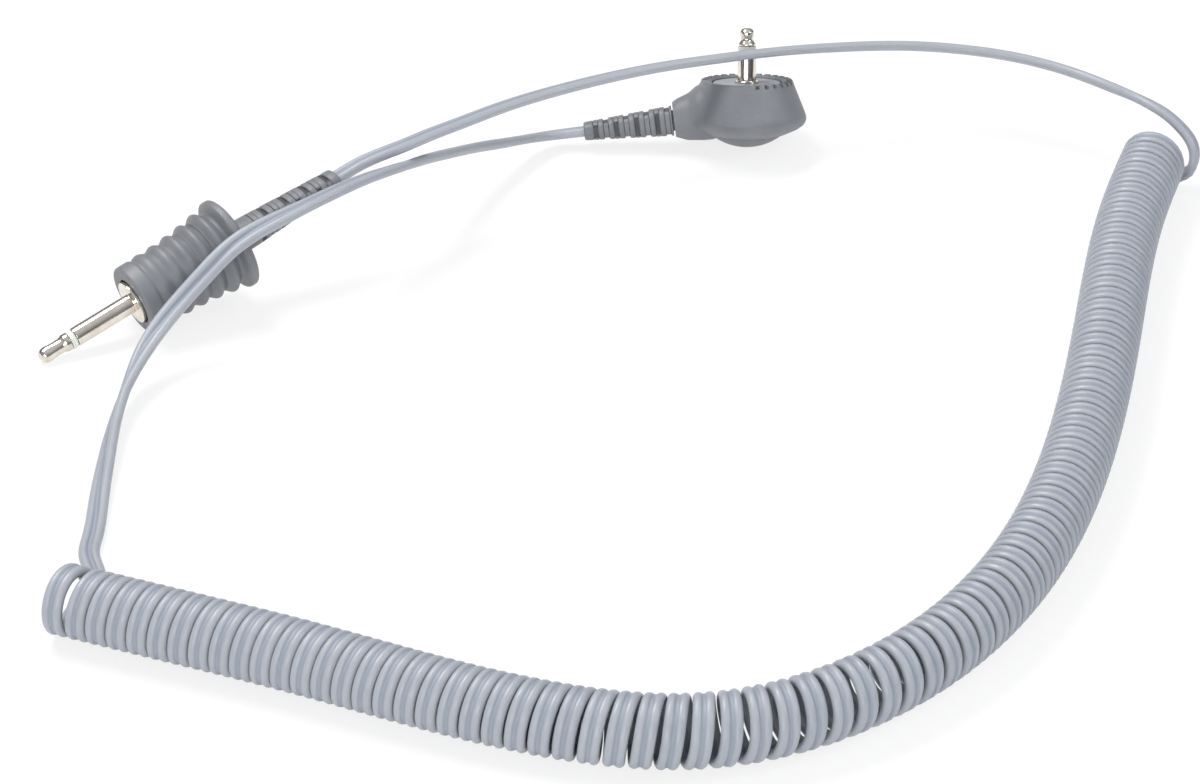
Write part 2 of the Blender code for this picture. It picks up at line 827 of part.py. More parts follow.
# --- Elbow plug ----------------------------------------------------------------------------------
def make_head(frame, boot_frame):
    """The hollow head: a turned shell joined to the neck, cut out for the pin, the wires
    and the boot, and notched all round its rim."""
    dome = dome_diameter / 2
    rim = rim_diameter / 2
    head = head_diameter / 2
    hole = elbow_shoulder_diameter / 2 + seat_gap
    shell = turned(
        "elbow_head",
        [
            (recess_diameter / 2, recess_edge_at),
            (rim - rim_width, head_height),
            (rim - 0.2 * MM, head_height),
            (rim, head_height - 0.3 * MM),
            (head - 0.15 * MM, head_widest_at + 0.9 * MM),
            (head, head_widest_at),
            (head - 0.4 * MM, head_widest_at - 0.9 * MM),
            (head - 1.5 * MM, head_widest_at - 1.7 * MM),
            (dome + seat_gap, dome_height + 0.1 * MM),
            (hole, dome_height + 0.1 * MM),
            (hole, deck_top),
            (recess_diameter / 2, deck_top),
        ],
        frame,
        "plug_grey",
        rim_notches,
    )
    neck_frame = add_frame("neck_frame", (0, 0, 0), (0, math.pi / 2, 0), frame)
    at_boot = -neck_height_at_boot
    neck = lofted(
        "elbow_neck",
        [
            (-neck_end - 0.8 * MM, 6.6 * MM, 6.1 * MM, at_boot),
            (-neck_end + 0.3 * MM, 7.0 * MM, 7.0 * MM, at_boot - 0.5 * MM),
            (-11.0 * MM, 8.6 * MM, 8.7 * MM, at_boot - 0.75 * MM),
            (-9.6 * MM, 10.2 * MM, 9.9 * MM, at_boot - 1.4 * MM),
            (-8.0 * MM, 11.6 * MM, 10.7 * MM, at_boot - 1.8 * MM),
            (-5.0 * MM, 12.4 * MM, 9.8 * MM, at_boot - 1.7 * MM),
        ],
        neck_frame,
        None,
        sides=16,
    )
    boolean(shell, neck, "UNION")
    cavity_top = deck_top - deck_thickness
    cavity = turned(
        "elbow_cavity",
        [
            (0, cavity_top),
            (cavity_diameter / 2, cavity_top),
            (cavity_diameter / 2, dome_height + 1.2 * MM),
            (dome + seat_gap, dome_height + 1.2 * MM),
            (dome + seat_gap, -1.0 * MM),
            (0, -1.0 * MM),
        ],
        frame,
        None,
        24,
    )
    boolean(shell, cavity, "DIFFERENCE")
    recess = turned(
        "elbow_recess",
        [
            (0, head_height + 1.0 * MM),
            (recess_diameter / 2, head_height + 1.0 * MM),
            (recess_diameter / 2, deck_top),
            (hole, deck_top),
            (hole, cavity_top - 1.0 * MM),
            (0, cavity_top - 1.0 * MM),
        ],
        frame,
        None,
        rim_notches,
    )
    boolean(shell, recess, "DIFFERENCE")
    channel = lofted(
        "elbow_channel",
        [
            (-1.0 * MM, neck_bore_width, neck_bore_height, 0.0),
            (elbow_boot_root[2], neck_bore_width, neck_bore_height, 0.0),
            (neck_end - cavity_diameter / 2 + 1.0 * MM, neck_mouth_width, neck_bore_height, 0.0),
        ],
        boot_frame,
        None,
        sides=12,
    )
    boolean(shell, channel, "DIFFERENCE")
    # The neck's end is square to the boot, which droops.
    bm = bmesh.new()
    box_into(bm, (12.0 * MM, 12.0 * MM, 4.0 * MM), (0, 0, seat_gap - 2.0 * MM))
    trim = add_object("elbow_neck_trim", mesh_from_bmesh("elbow_neck_trim", bm), boot_frame)
    boolean(shell, trim, "DIFFERENCE")
    bm = bmesh.new()
    for i in range(rim_notches):
        box_into(
            bm,
            (rim_width + 1.0 * MM, rim_notch_width, 2 * rim_notch_depth),
            (rim - rim_width / 2 + 0.3 * MM, 0, head_height),
            2 * math.pi * (i + 0.5) / rim_notches,
        )
    notches = add_object("elbow_notches", mesh_from_bmesh("elbow_notches", bm), frame)
    boolean(shell, notches, "DIFFERENCE")
    return cavity_top


def make_resistor(name, frame, height, offset):
    """A small dog-bone resistor lying along X, with a stub of wire at each end."""
    along = add_frame(f"{name}_frame", (-0.5 * MM, offset, height), (0, math.pi / 2, 0), frame)
    half = resistor_length / 2
    body = resistor_diameter / 2
    wire = resistor_wire_diameter / 2
    end = half + resistor_wire_length
    cap = 0.9 * MM
    upper = [(0, end), (wire, end), (wire, half), (body, half - 0.15 * MM), (body, half - cap)]
    waist = [(body * 0.88, half - cap - 0.3 * MM)]
    side = upper + waist
    profile = side + [(radius, -height) for radius, height in reversed(side)]
    turned(name, profile, along, "resistor", 10)
    return end


def make_elbow():
    lean = math.radians(elbow_lean)
    dome = dome_diameter / 2
    ball = (dome**2 + dome_height**2) / (2 * dome_height)
    # The dome's ball touches the bench, whatever the lean.
    lift = ball * (1 - math.cos(lean))
    frame = add_frame("elbow_frame", (elbow_x, elbow_y, lift), (-lean, 0, 0))

    droop = math.radians(elbow_boot_droop)
    boot_frame = add_frame(
        "elbow_boot_frame",
        (-neck_end - seat_gap, 0, neck_height_at_boot),
        (0, math.pi / 2 - droop, 0),
        frame,
    )
    cavity_top = make_head(frame, boot_frame)
    plate_bottom = deck_top + seat_gap
    plate_top = plate_bottom + floor_plate_thickness
    seat = plate_top + seat_gap
    plate_hole = elbow_shoulder_diameter / 2 + fit_gap
    turned(
        "elbow_floor_plate",
        [
            (plate_hole, plate_top),
            (recess_diameter / 2 - seat_gap, plate_top),
            (recess_diameter / 2 - seat_gap, plate_bottom),
            (plate_hole, plate_bottom),
        ],
        frame,
        "plate_grey",
        20,
    )
    seat_frame = add_frame("elbow_seat", (0, 0, seat), (0, 0, 0), frame)
    flange_top = cavity_top - seat_gap - seat
    flange_bottom = flange_top - elbow_flange_thickness
    shoulder = elbow_shoulder_diameter / 2
    seat_profile = [
        (shoulder, 0),
        (shoulder, flange_top),
        (elbow_flange_diameter / 2, flange_top),
        (elbow_flange_diameter / 2, flange_bottom),
    ]
    tip_profile = [
        (0.7 * MM, 0.12 * MM),
        (1.15 * MM, 0.5 * MM),
        (1.3 * MM, 1.0 * MM),
        (1.15 * MM, 1.6 * MM),
        (1.0 * MM, 2.1 * MM),
        (1.6 * MM, 3.0 * MM),
        (1.6 * MM, elbow_tip_length),
    ]
    stack = make_pin(
        "elbow",
        seat_frame,
        tip_profile,
        elbow_pin_length,
        elbow_tip_length,
        elbow_ring_length,
        seat_profile,
    )

    wire_end = {}
    for which, side, key, hole, outside, material in (
        ("sleeve", 1, "sleeve_lug", pin_bore, lug_outer_diameter, "wire_black"),
        ("tip", -1, "tip_lug", rod_diameter + 2 * fit_gap, tip_lug_diameter, "wire_red"),
    ):
        top = stack[key]
        resistor_height = seat + top - lug_thickness - seat_gap - resistor_wire_diameter / 2
        reach = make_resistor(f"{which}_resistor", frame, resistor_height, side * resistor_offset)
        meets = Vector((reach - 0.8 * MM, resistor_offset))
        start = outside / 2 - 0.4 * MM
        length = meets.length - start + 0.4 * MM
        make_lug(
            f"elbow_{which}_lug",
            seat_frame,
            top,
            hole / 2,
            outside / 2,
            (length, 1.0 * MM, lug_thickness * 0.8),
            (start + length / 2, 0, top - lug_thickness / 2),
            side * math.atan2(meets.y, meets.x),
        )
        wire_x = -0.5 * MM - reach - seat_gap
        wire_end[which] = (wire_x, side * resistor_offset, resistor_height, material)

    dome_wall = 1.4 * MM
    dome_steps = 6
    reach_angle = math.asin(dome / ball)
    outer = [
        (ball * math.sin(a), ball * (1 - math.cos(a)))
        for a in np.linspace(reach_angle, 0, dome_steps)
    ]
    plug_height = dome_height + 1.0 * MM
    turned(
        "elbow_base_cap",
        [(0, dome_wall), (dome - 1.2 * MM, plug_height), (dome, plug_height)] + outer[:-1] + [(0, 0)],
        frame,
        "plug_grey",
        24,
    )

    root_width, root_height, root_length = elbow_boot_root
    make_boot(
        "elbow_boot",
        boot_frame,
        elbow_boot_length,
        elbow_boot_first_slot,
        elbow_boot_slot_pitch,
        False,
        [
            (root_length, root_width, root_height, 0.0),
            (0.02 * MM, root_width, root_height, 0.0),
        ],
    )
    into_head = frame.matrix_world.inverted()
    for which, side in (("sleeve", 1), ("tip", -1)):
        end_x, end_y, end_z, material = wire_end[which]
        half = side * conductor_spacing / 2
        in_boot = [
            into_head @ boot_frame.matrix_world @ Vector((0, half, distance))
            for distance in np.linspace(-elbow_boot_length, root_length + 2.8 * MM, 9)
        ]
        make_wire(
            f"elbow_{which}_wire",
            [tuple(point) for point in in_boot]
            + [(end_x - 1.9 * MM, (half + end_y) / 2, end_z), (end_x, end_y, end_z)],
            frame,
            material,
        )
    return add_frame("elbow_exit", (0, 0, -elbow_boot_length), (0, 0, 0), boot_frame)


# --- Leads ---------------------------------------------------------------------------------------
def make_lead(name, exit_frame, points, twist, coil_straight, coil_end, coil_before, coil_wide):
    """A free lead from a boot to an end of the curls, straight and square at both, with its
    wide side turning from the one to the other."""
    away = frame_direction(exit_frame, (0, 0, -1))
    start = frame_point(exit_frame, (0, 0, -seat_gap))
    off_coil = (coil_end - coil_before) / np.linalg.norm(coil_end - coil_before)
    finish = coil_end + off_coil * seat_gap
    middle = np.array(points) * MM
    route = np.vstack(
        [
            start,
            start + away * lead_straight_end,
            middle,
            finish + off_coil * coil_straight,
            finish,
        ]
    )
    middle = points_along(route, lead_points_every)
    from_ends = np.minimum(
        np.linalg.norm(middle - start, axis=1), np.linalg.norm(middle - finish, axis=1)
    )
    middle = middle[from_ends > 1.3 * cord_width]
    places = np.vstack(
        [start, start + away * cord_width, middle, finish + off_coil * cord_width, finish]
    )
    first = frame_direction(exit_frame, (0, 1, 0))
    last = coil_wide if coil_wide @ twist[-1][1] > 0 else -coil_wide
    lengths = np.linalg.norm(np.diff(places, axis=0), axis=1)
    share = np.append(0.0, np.cumsum(lengths)) / lengths.sum()
    marks = [0.0, *(mark for mark, _ in twist), 1.0]
    ways = np.array([first, *(way for _, way in twist), last])
    flat_cord(name, places, np.column_stack([np.interp(share, marks, way) for way in ways.T]))
    print(f"{name}: {lengths.sum():.3f} m of cord in {len(places)} points")


clear_scene()
parts = new_collection("wrist_strap_ground_cord")
helpers = new_collection("helpers")
materials = make_materials()

jack_exit = make_jack()
elbow_exit = make_elbow()
curls, curls_wide = make_curly_cord()
make_lead(
    "elbow_lead",
    elbow_exit,
    elbow_lead_points,
    elbow_lead_twist,
    elbow_lead_straight_at_coil,
    curls[0],
    curls[1],
    curls_wide[0],
)
make_lead(
    "jack_lead",
    jack_exit,
    jack_lead_points,
    jack_lead_twist,
    jack_lead_straight_at_coil,
    curls[-1],
    curls[-2],
    curls_wide[-1],
)
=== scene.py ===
# %% [markdown]
# # A coiled ground cord and its two plugs
#
# The real object is one grey twin cord, about three metres long, wound into tight curls
# for most of its length. A lead at each end goes to a plug: a straight jack plug with a
# ribbed grip, and an elbow plug whose round, notched head holds an upright pin. They lie
# on a white bench and a telephoto camera looks down at them.
#
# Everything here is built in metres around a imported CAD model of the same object, which
# fixes the sizes.

# %% Load the CAD model
import json
import math

import bmesh
import bpy
import numpy as np
from mathutils import Matrix, Vector


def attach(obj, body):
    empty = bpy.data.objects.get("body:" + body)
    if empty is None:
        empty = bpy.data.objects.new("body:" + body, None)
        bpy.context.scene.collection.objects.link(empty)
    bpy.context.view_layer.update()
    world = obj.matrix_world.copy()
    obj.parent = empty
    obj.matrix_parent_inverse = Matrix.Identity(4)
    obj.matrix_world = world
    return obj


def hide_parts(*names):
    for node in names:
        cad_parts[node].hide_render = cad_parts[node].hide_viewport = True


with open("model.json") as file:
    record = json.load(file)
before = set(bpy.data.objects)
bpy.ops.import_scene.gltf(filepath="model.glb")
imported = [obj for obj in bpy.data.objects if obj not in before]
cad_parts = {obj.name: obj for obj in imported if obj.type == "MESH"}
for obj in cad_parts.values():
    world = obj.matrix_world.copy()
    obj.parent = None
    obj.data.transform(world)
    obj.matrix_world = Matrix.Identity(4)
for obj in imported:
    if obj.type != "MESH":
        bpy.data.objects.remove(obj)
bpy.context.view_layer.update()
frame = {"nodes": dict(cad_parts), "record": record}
nodes = frame["nodes"]
MM = 0.001

# %% [markdown]
# ## The camera
#
# Straight lines in the picture hardly converge and round things keep their shape, which
# says that the camera was far away with a long lens. Its tilt comes from the jack's round
# collar and from the ring of the elbow plug's rim: how flat a circle looks is the sine of
# the angle from which it is seen. Here that is 32 degrees above the bench.

# %% Place the camera
camera_tilt = math.radians(32)
camera_distance = 0.88
camera_target = Vector((0.0298, -0.0567, 0.002))
camera_data = bpy.data.cameras.new("camera")
camera_data.sensor_width = 36
camera_data.lens = 152.8
camera_data.clip_end = 20
camera = bpy.data.objects.new("camera", camera_data)
camera.location = camera_target + camera_distance * Vector(
    (0, -math.cos(camera_tilt), math.sin(camera_tilt))
)
camera.rotation_euler = (math.pi / 2 - camera_tilt, 0, 0)
bpy.context.scene.collection.objects.link(camera)
bpy.context.scene.camera = camera
bpy.context.scene.view_settings.view_transform = "Standard"
print("camera at", [round(x, 4) for x in camera.location])

# %% [markdown]
# ## How the two plugs lie
#
# Each plug is modelled standing up, with its own axis along Z, and then laid down by one
# matrix. The jack plug lies on its tip and on the front edge of its grip, with its boot in
# the air. The elbow plug stands on its domed underside, tipped away from the camera.

# %% Frames of the plugs
jack_tip_end = Vector((-68.2, -44.3, 1.13)) * MM
jack_heading, jack_rise, jack_roll = (math.radians(a) for a in (34.2, 15.2, 9.0))
jack_pin_length = 19.3 * MM
grip_rear = 21.95 * MM
jack_boot_length = 22.3 * MM

dome_diameter, dome_height = 13.0 * MM, 2.2 * MM
dome_ball = (dome_diameter**2 / 4 + dome_height**2) / (2 * dome_height)
elbow_lean, elbow_droop = math.radians(20.0), math.radians(7.0)
elbow_seat_height = 12.4 * MM
neck_end, neck_height = 13.6 * MM, 4.9 * MM
seat_gap = 0.3 * MM
elbow_boot_length = 16.7 * MM

jack_axis = Vector(
    (
        math.cos(jack_rise) * math.cos(jack_heading),
        math.cos(jack_rise) * math.sin(jack_heading),
        math.sin(jack_rise),
    )
)
jack_place = (
    Matrix.Translation(jack_tip_end + jack_axis * jack_pin_length)
    @ Matrix.Rotation(jack_heading + math.pi, 4, "Z")
    @ Matrix.Rotation(math.pi / 2 + jack_rise, 4, "Y")
    @ Matrix.Rotation(jack_roll, 4, "Z")
)
jack_boot_place = jack_place @ Matrix.Translation((0, 0, -grip_rear))
elbow_place = Matrix.Translation(
    (57.3 * MM, 32.5 * MM, dome_ball * (1 - math.cos(elbow_lean)))
) @ Matrix.Rotation(-elbow_lean, 4, "X")
elbow_pin_place = elbow_place @ Matrix.Translation((0, 0, elbow_seat_height))
elbow_boot_place = (
    elbow_place
    @ Matrix.Translation((-neck_end - seat_gap, 0, neck_height))
    @ Matrix.Rotation(math.pi / 2 - elbow_droop, 4, "Y")
)


def boot_end(boot_place, length):
    """Where the cord leaves a boot, the way it goes, and the way its wide side faces."""
    turn = boot_place.to_3x3()
    exit_point = boot_place @ Vector((0, 0, -length))
    return np.array(exit_point), np.array(turn @ Vector((0, 0, -1))), np.array(turn.col[1])


jack_exit, jack_away, jack_wide = boot_end(jack_boot_place, jack_boot_length)
elbow_exit, elbow_away, elbow_wide = boot_end(elbow_boot_place, elbow_boot_length)
print("cord leaves the jack at", jack_exit.round(4), "and the elbow at", elbow_exit.round(4))

# %% [markdown]
# ## The route of the cord
#
# The cord is one piece, so it is one mesh that follows one line: out of the jack's boot,
# over the elbow plug to the far end of the curls, round and round all the curls, and back
# in a low hump over the jack plug to the elbow's boot. The free leads are a few points
# joined by a natural cubic, which is the curve that a springy strip takes when it is held
# at those points.

# %% A smooth curve through points
def lengths_along(points):
    """How far along the straight pieces between the points each point lies."""
    return np.append(0.0, np.cumsum(np.linalg.norm(np.diff(points, axis=0), axis=1)))


def spline_through(points):
    """The natural cubic through the points by chord length: its knots and its function."""
    points = np.asarray(points, float)
    knots = lengths_along(points)
    step = np.diff(knots)
    matrix = np.eye(len(points))
    right = np.zeros_like(points)
    for i in range(1, len(points) - 1):
        matrix[i, i - 1 : i + 2] = step[i - 1], 2 * (step[i - 1] + step[i]), step[i]
        after = (points[i + 1] - points[i]) / step[i]
        before = (points[i] - points[i - 1]) / step[i - 1]
        right[i] = 6 * (after - before)
    bend = np.linalg.solve(matrix, right)

    def at(where):
        i = np.clip(np.searchsorted(knots, where) - 1, 0, len(step) - 1)
        a = ((knots[i + 1] - where) / step[i])[:, None]
        b = 1 - a
        h = (step[i] ** 2 / 6)[:, None]
        bent = h * ((a**3 - a) * bend[i] + (b**3 - b) * bend[i + 1])
        return a * points[i] + b * points[i + 1] + bent

    return knots, at


lead_samples = 4000  # fine enough to read lengths off


def evenly_along(points, spacing):
    """Points at even steps of length along the smooth curve through the given ones."""
    knots, at = spline_through(points)
    fine = at(np.linspace(0, knots[-1], lead_samples))
    arc = lengths_along(fine)
    wanted = np.linspace(0, arc[-1], round(arc[-1] / spacing) + 1)
    return np.column_stack([np.interp(wanted, arc, column) for column in fine.T])


print("curve helpers ready, with", lead_samples, "samples to a lead")

# %% [markdown]
# The curls follow a formula. Their axis is another smooth curve, in plan, and the cord
# turns round it left-handed. The spacing is read off turn by turn: neighbours nearly touch
# for the first twenty turns, fan out round the bend, and stay a little slack after it. The
# first turn leans away from the second, as the end of a spring does.

# %% The curls
cord_width, conductor_diameter = 3.55 * MM, 1.75 * MM
coil_radius = 5.15 * MM
coil_axis_height = 6.02 * MM
coil_turns = 83 + 30 / 360
coil_splay = 1.0 * MM
points_per_turn = 28
axis_samples = 6000
pitch_turns = (0, 21, 27, 31, 36, 41, 46, 54, 60, 64, 72, 78, 83)
pitch_sizes = (3.63, 3.63, 3.88, 4.24, 4.40, 4.08, 3.95, 3.79, 3.81, 3.93, 3.74, 3.74, 4.00)
coil_axis_points = (
    (-56.3, -126.0),
    (-37.2, -133.9),
    (-18.7, -141.7),
    (17.8, -157.7),
    (46.8, -161.9),
    (73.8, -149.2),
    (97.8, -117.7),
    (110.8, -80.2),
    (118.8, -40.7),
    (126.6, -1.2),
    (132.4, 18.7),
)


def curls():
    """The cord's centreline through the curls, and the way its wide side faces."""
    knots, at = spline_through(np.array(coil_axis_points) * MM)
    fine = at(np.linspace(0, knots[-1], axis_samples))
    arc = lengths_along(fine)
    count = np.linspace(0, coil_turns, axis_samples)
    pitch = np.interp(count, pitch_turns, pitch_sizes)
    reached = np.append(0.0, np.cumsum((pitch[1:] + pitch[:-1]) / 2 * np.diff(count)))
    turns_there = np.interp(arc, reached * arc[-1] / reached[-1], count)
    turns = np.linspace(0, coil_turns, round(coil_turns * points_per_turn) + 1)
    centre = np.column_stack([np.interp(turns, turns_there, column) for column in fine.T])
    ahead = np.gradient(fine, axis=0)
    ahead = np.column_stack([np.interp(turns, turns_there, column) for column in ahead.T])
    ahead /= np.linalg.norm(ahead, axis=1)[:, None]
    beside = np.column_stack([-ahead[:, 1], ahead[:, 0]])
    angle = 2 * math.pi * turns
    splay = np.where(turns < 1, coil_splay * np.sin(angle / 2) ** 2, 0.0)[:, None]
    plan = centre - coil_radius * np.sin(angle)[:, None] * beside - splay * ahead
    height = coil_axis_height - coil_radius * np.cos(angle)
    return np.column_stack([plan, height]), np.column_stack([ahead, 0 * turns])


curl_line, curl_wide = curls()
print(f"curls: {lengths_along(curl_line)[-1]:.3f} m")

# %% [markdown]
# The free leads have no formula: they are points read off the picture, in millimetres, with
# heights that clear what they pass over. A flat cord also twists along its way. How wide it
# looks tells which way its wide side faces there, so each lead has a few shares of its
# length with the way that the wide side has at them.

# %% Points and twist of the leads
jack_lead_points = (
    (-5.8, -2.9, 20.5),
    (-1.2, 0.6, 20.8),
    (3.4, 4.1, 20.9),
    (12.7, 11.6, 20.8),
    (22.1, 17.9, 20.6),
    (31.6, 23.4, 20.3),
    (41.3, 28.2, 19.9),
    (51.0, 32.1, 19.4),
    (63.4, 36.5, 18.7),
    (74.7, 39.6, 17.9),
    (86.1, 41.7, 17.1),
    (97.4, 41.8, 16.3),
    (108.6, 39.7, 15.5),
    (119.4, 34.4, 14.8),
    (124.7, 30.6, 14.4),
    (129.4, 27.8, 13.6),
    (132.1, 25.3, 13.3),
    (134.9, 22.8, 12.5),
    (136.7, 21.3, 11.4),
    (138.3, 20.0, 10.0),
    (139.3, 18.8, 8.5),
    (139.6, 17.8, 6.6),
    (138.7, 16.9, 4.2),
)
elbow_lead_points = (
    (17.1, 30.0, 3.8),
    (12.3, 24.3, 6.0),
    (7.6, 18.1, 8.6),
    (3.1, 10.7, 11.6),
    (-1.4, 2.5, 14.9),
    (-5.8, -5.8, 17.9),
    (-12.3, -14.7, 20.3),
    (-18.7, -21.5, 20.8),
    (-26.1, -27.6, 20.0),
    (-33.9, -33.2, 17.9),
    (-39.8, -38.3, 14.0),
    (-48.2, -47.6, 7.2),
    (-51.3, -55.9, 4.2),
    (-53.1, -66.0, 2.4),
    (-53.8, -77.6, 1.7),
    (-54.1, -89.0, 1.1),
    (-54.3, -100.8, 0.9),
    (-54.4, -105.3, 0.9),
)
jack_lead_twist = ((0.6, (0.0, -0.85, 0.53)), (0.85, (0.0, -0.85, 0.53)))
elbow_lead_twist = (
    (0.10, (-0.70, 0.50, -0.50)),
    (0.26, (-0.81, 0.28, -0.52)),
    (0.42, (-0.5, 0.75, -0.13)),
    (0.53, (-0.62, 0.42, 0.67)),
    (0.60, (-0.62, 0.50, 0.40)),
    (0.69, (-0.18, 0.69, -0.70)),
    (0.90, (-0.92, 0.38, 0.0)),
)
print(len(jack_lead_points), "and", len(elbow_lead_points), "points for the leads")

# %% [markdown]
# Each lead starts inside its boot, goes straight out for a little, passes its points, and
# meets the curls in the direction in which they end, so that nothing kinks at the joint.
# The back lead, the curls and the front lead are then laid end to end as one line.

# %% The whole route
straight_end = 5 * MM  # of a lead, as it leaves its boot
inside_boot = 1.5 * MM
lead_spacing = 1.0 * MM


def unit(vector):
    """A vector's way, with a length of 1."""
    return vector / np.linalg.norm(vector)


def lead(leaves, points, twist, ends, ends_wide, tail, coil_straight):
    """A lead's line from inside its boot to the curls, and its wide side all along it.
    The ends are the curls' last three points, the very last one first."""
    exit_point, away, wide = leaves
    last_step = ends[0] - ends[1]
    off_coil = unit(last_step + (last_step - (ends[1] - ends[2])) / 2)
    line = np.vstack(
        [
            exit_point - away * inside_boot,
            exit_point,
            exit_point + away * straight_end,
            np.array(points) * MM,
            ends[0] + off_coil * (tail + coil_straight),
            ends[0] + off_coil * tail,
            ends[0] + off_coil * tail / 2,
            ends[0],
        ]
    )
    line = evenly_along(line, lead_spacing)
    arc = np.arange(len(line)) * lead_spacing - inside_boot
    share = np.clip(arc / (arc[-1] - tail), 0, 1)
    last = ends_wide if ends_wide @ twist[-1][1] > 0 else -ends_wide
    marks = [0.0, *(mark for mark, _ in twist), 1.0]
    ways = np.array([wide, *(way for _, way in twist), last])
    return line, np.column_stack([np.interp(share, marks, way) for way in ways.T])


front_line, front_wide = lead(
    (elbow_exit, elbow_away, elbow_wide), elbow_lead_points, elbow_lead_twist,
    curl_line[:3], curl_wide[0], tail=8.0 * MM, coil_straight=5.0 * MM,
)
back_line, back_wide = lead(
    (jack_exit, jack_away, jack_wide), jack_lead_points, jack_lead_twist,
    curl_line[:-4:-1], curl_wide[-1], tail=1.5 * MM, coil_straight=2.0 * MM,
)
cord_line = np.vstack([back_line[:-1], curl_line[::-1], front_line[::-1][1:]])
cord_wide = np.vstack([back_wide[:-1], curl_wide[::-1], front_wide[::-1][1:]])
for i in range(1, len(cord_wide)):
    # The twin cord looks the same turned half round, so neighbours may be made to agree.
    if cord_wide[i] @ cord_wide[i - 1] < 0:
        cord_wide[i] *= -1
cord_arc = lengths_along(cord_line)
print(f"cord: {cord_arc[-1]:.3f} m along {len(cord_line)} points")

# %% [markdown]
# ## The cord's section
#
# The two conductors lie side by side under one jacket, so the section is two round ridges
# with a sunken web between them. A tube with a round bevel would lose the web, and with it
# the double line of light on every turn. So a section is drawn as points and swept along
# the route by hand: at each point it stands square to the line, with its long side along
# the coil's own axis.
#
# Each point of the mesh also keeps how deep it lies in the groove, how far round the
# section and how far along the cord it is. The jacket's material reads these three.

# %% Section and sweep
ridge_radius = conductor_diameter / 2
ridge_centre = cord_width / 2 - ridge_radius
web_points = ((0.29, 0.60), (0.15, 0.555), (0.0, 0.545), (-0.15, 0.555), (-0.29, 0.60))
web_edge, web_fade = 0.62 * MM, 0.3 * MM  # where the web ends, and over how much
ridge_angles = np.radians(np.linspace(-128, 128, 13))


def twin_section():
    """(across, up) points round the section, and how far each lies into the web."""
    right = ridge_radius * np.column_stack([np.cos(ridge_angles), np.sin(ridge_angles)])
    right[:, 0] += ridge_centre
    web = np.array(web_points) * MM
    points = np.vstack([right, web, -right, -web])
    depth = np.clip((web_edge - np.abs(points[:, 0])) / web_fade, 0, 1)
    return points, depth


def keep_on_points(mesh, name, values):
    """Stores one number for each point of a mesh, for a material to read."""
    attribute = mesh.attributes.new(name, "FLOAT", "POINT")
    attribute.data.foreach_set("value", np.asarray(values, np.float32))


def sweep(name, line, wide, section, depth):
    """A closed mesh that carries a section along a line."""
    ahead = np.gradient(line, axis=0)
    ahead /= np.linalg.norm(ahead, axis=1)[:, None]
    across = wide - (wide * ahead).sum(1)[:, None] * ahead
    across /= np.linalg.norm(across, axis=1)[:, None]
    up = np.cross(ahead, across)
    points = (
        line[:, None]
        + section[None, :, :1] * across[:, None]
        + section[None, :, 1:] * up[:, None]
    ).reshape(-1, 3)
    count = len(section)
    ring = np.arange(len(line) - 1)[:, None] * count
    here = np.arange(count)[None, :]
    there = (here + 1) % count
    faces = np.stack([ring + here, ring + there, ring + there + count, ring + here + count], -1)
    faces = faces.reshape(-1, 4).tolist()
    faces.append(list(range(count))[::-1])
    faces.append([len(points) - count + i for i in range(count)])
    mesh = bpy.data.meshes.new(name)
    mesh.from_pydata(points.tolist(), [], faces)
    mesh.shade_smooth()
    keep_on_points(mesh, "groove", np.tile(depth, len(line)))
    keep_on_points(mesh, "around", np.tile(lengths_along(section), len(line)))
    keep_on_points(mesh, "along", np.repeat(cord_arc, count))
    return mesh


cord_mesh = sweep("ground_cord", cord_line, cord_wide, *twin_section())
print("cord mesh:", len(cord_mesh.vertices), "points")

# %% [markdown]
# The cord is added as one piece that rides on the CAD body, and the CAD's own curls and
# leads are hidden.

# %% Draw the cord
def add_piece(name, mesh, place=None):
    """Links a mesh as a piece of the object, in its place, riding on the CAD body."""
    obj = bpy.data.objects.new(name, mesh)
    bpy.context.scene.collection.objects.link(obj)
    if place is not None:
        obj.matrix_world = place
    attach(obj, "root")
    return obj


ground_cord = add_piece("ground_cord", cord_mesh)
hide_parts("curly_cord", "jack_lead", "elbow_lead")
print("cord drawn,", cord_width / MM, "mm wide")

# %% [markdown]
# ## A small language for shader maths
#
# A material is a graph of nodes. Writing the graph out node by node hides what it does, so
# one class wraps an output of a node. Two of them add and multiply as numbers do, and one
# method makes any other node.

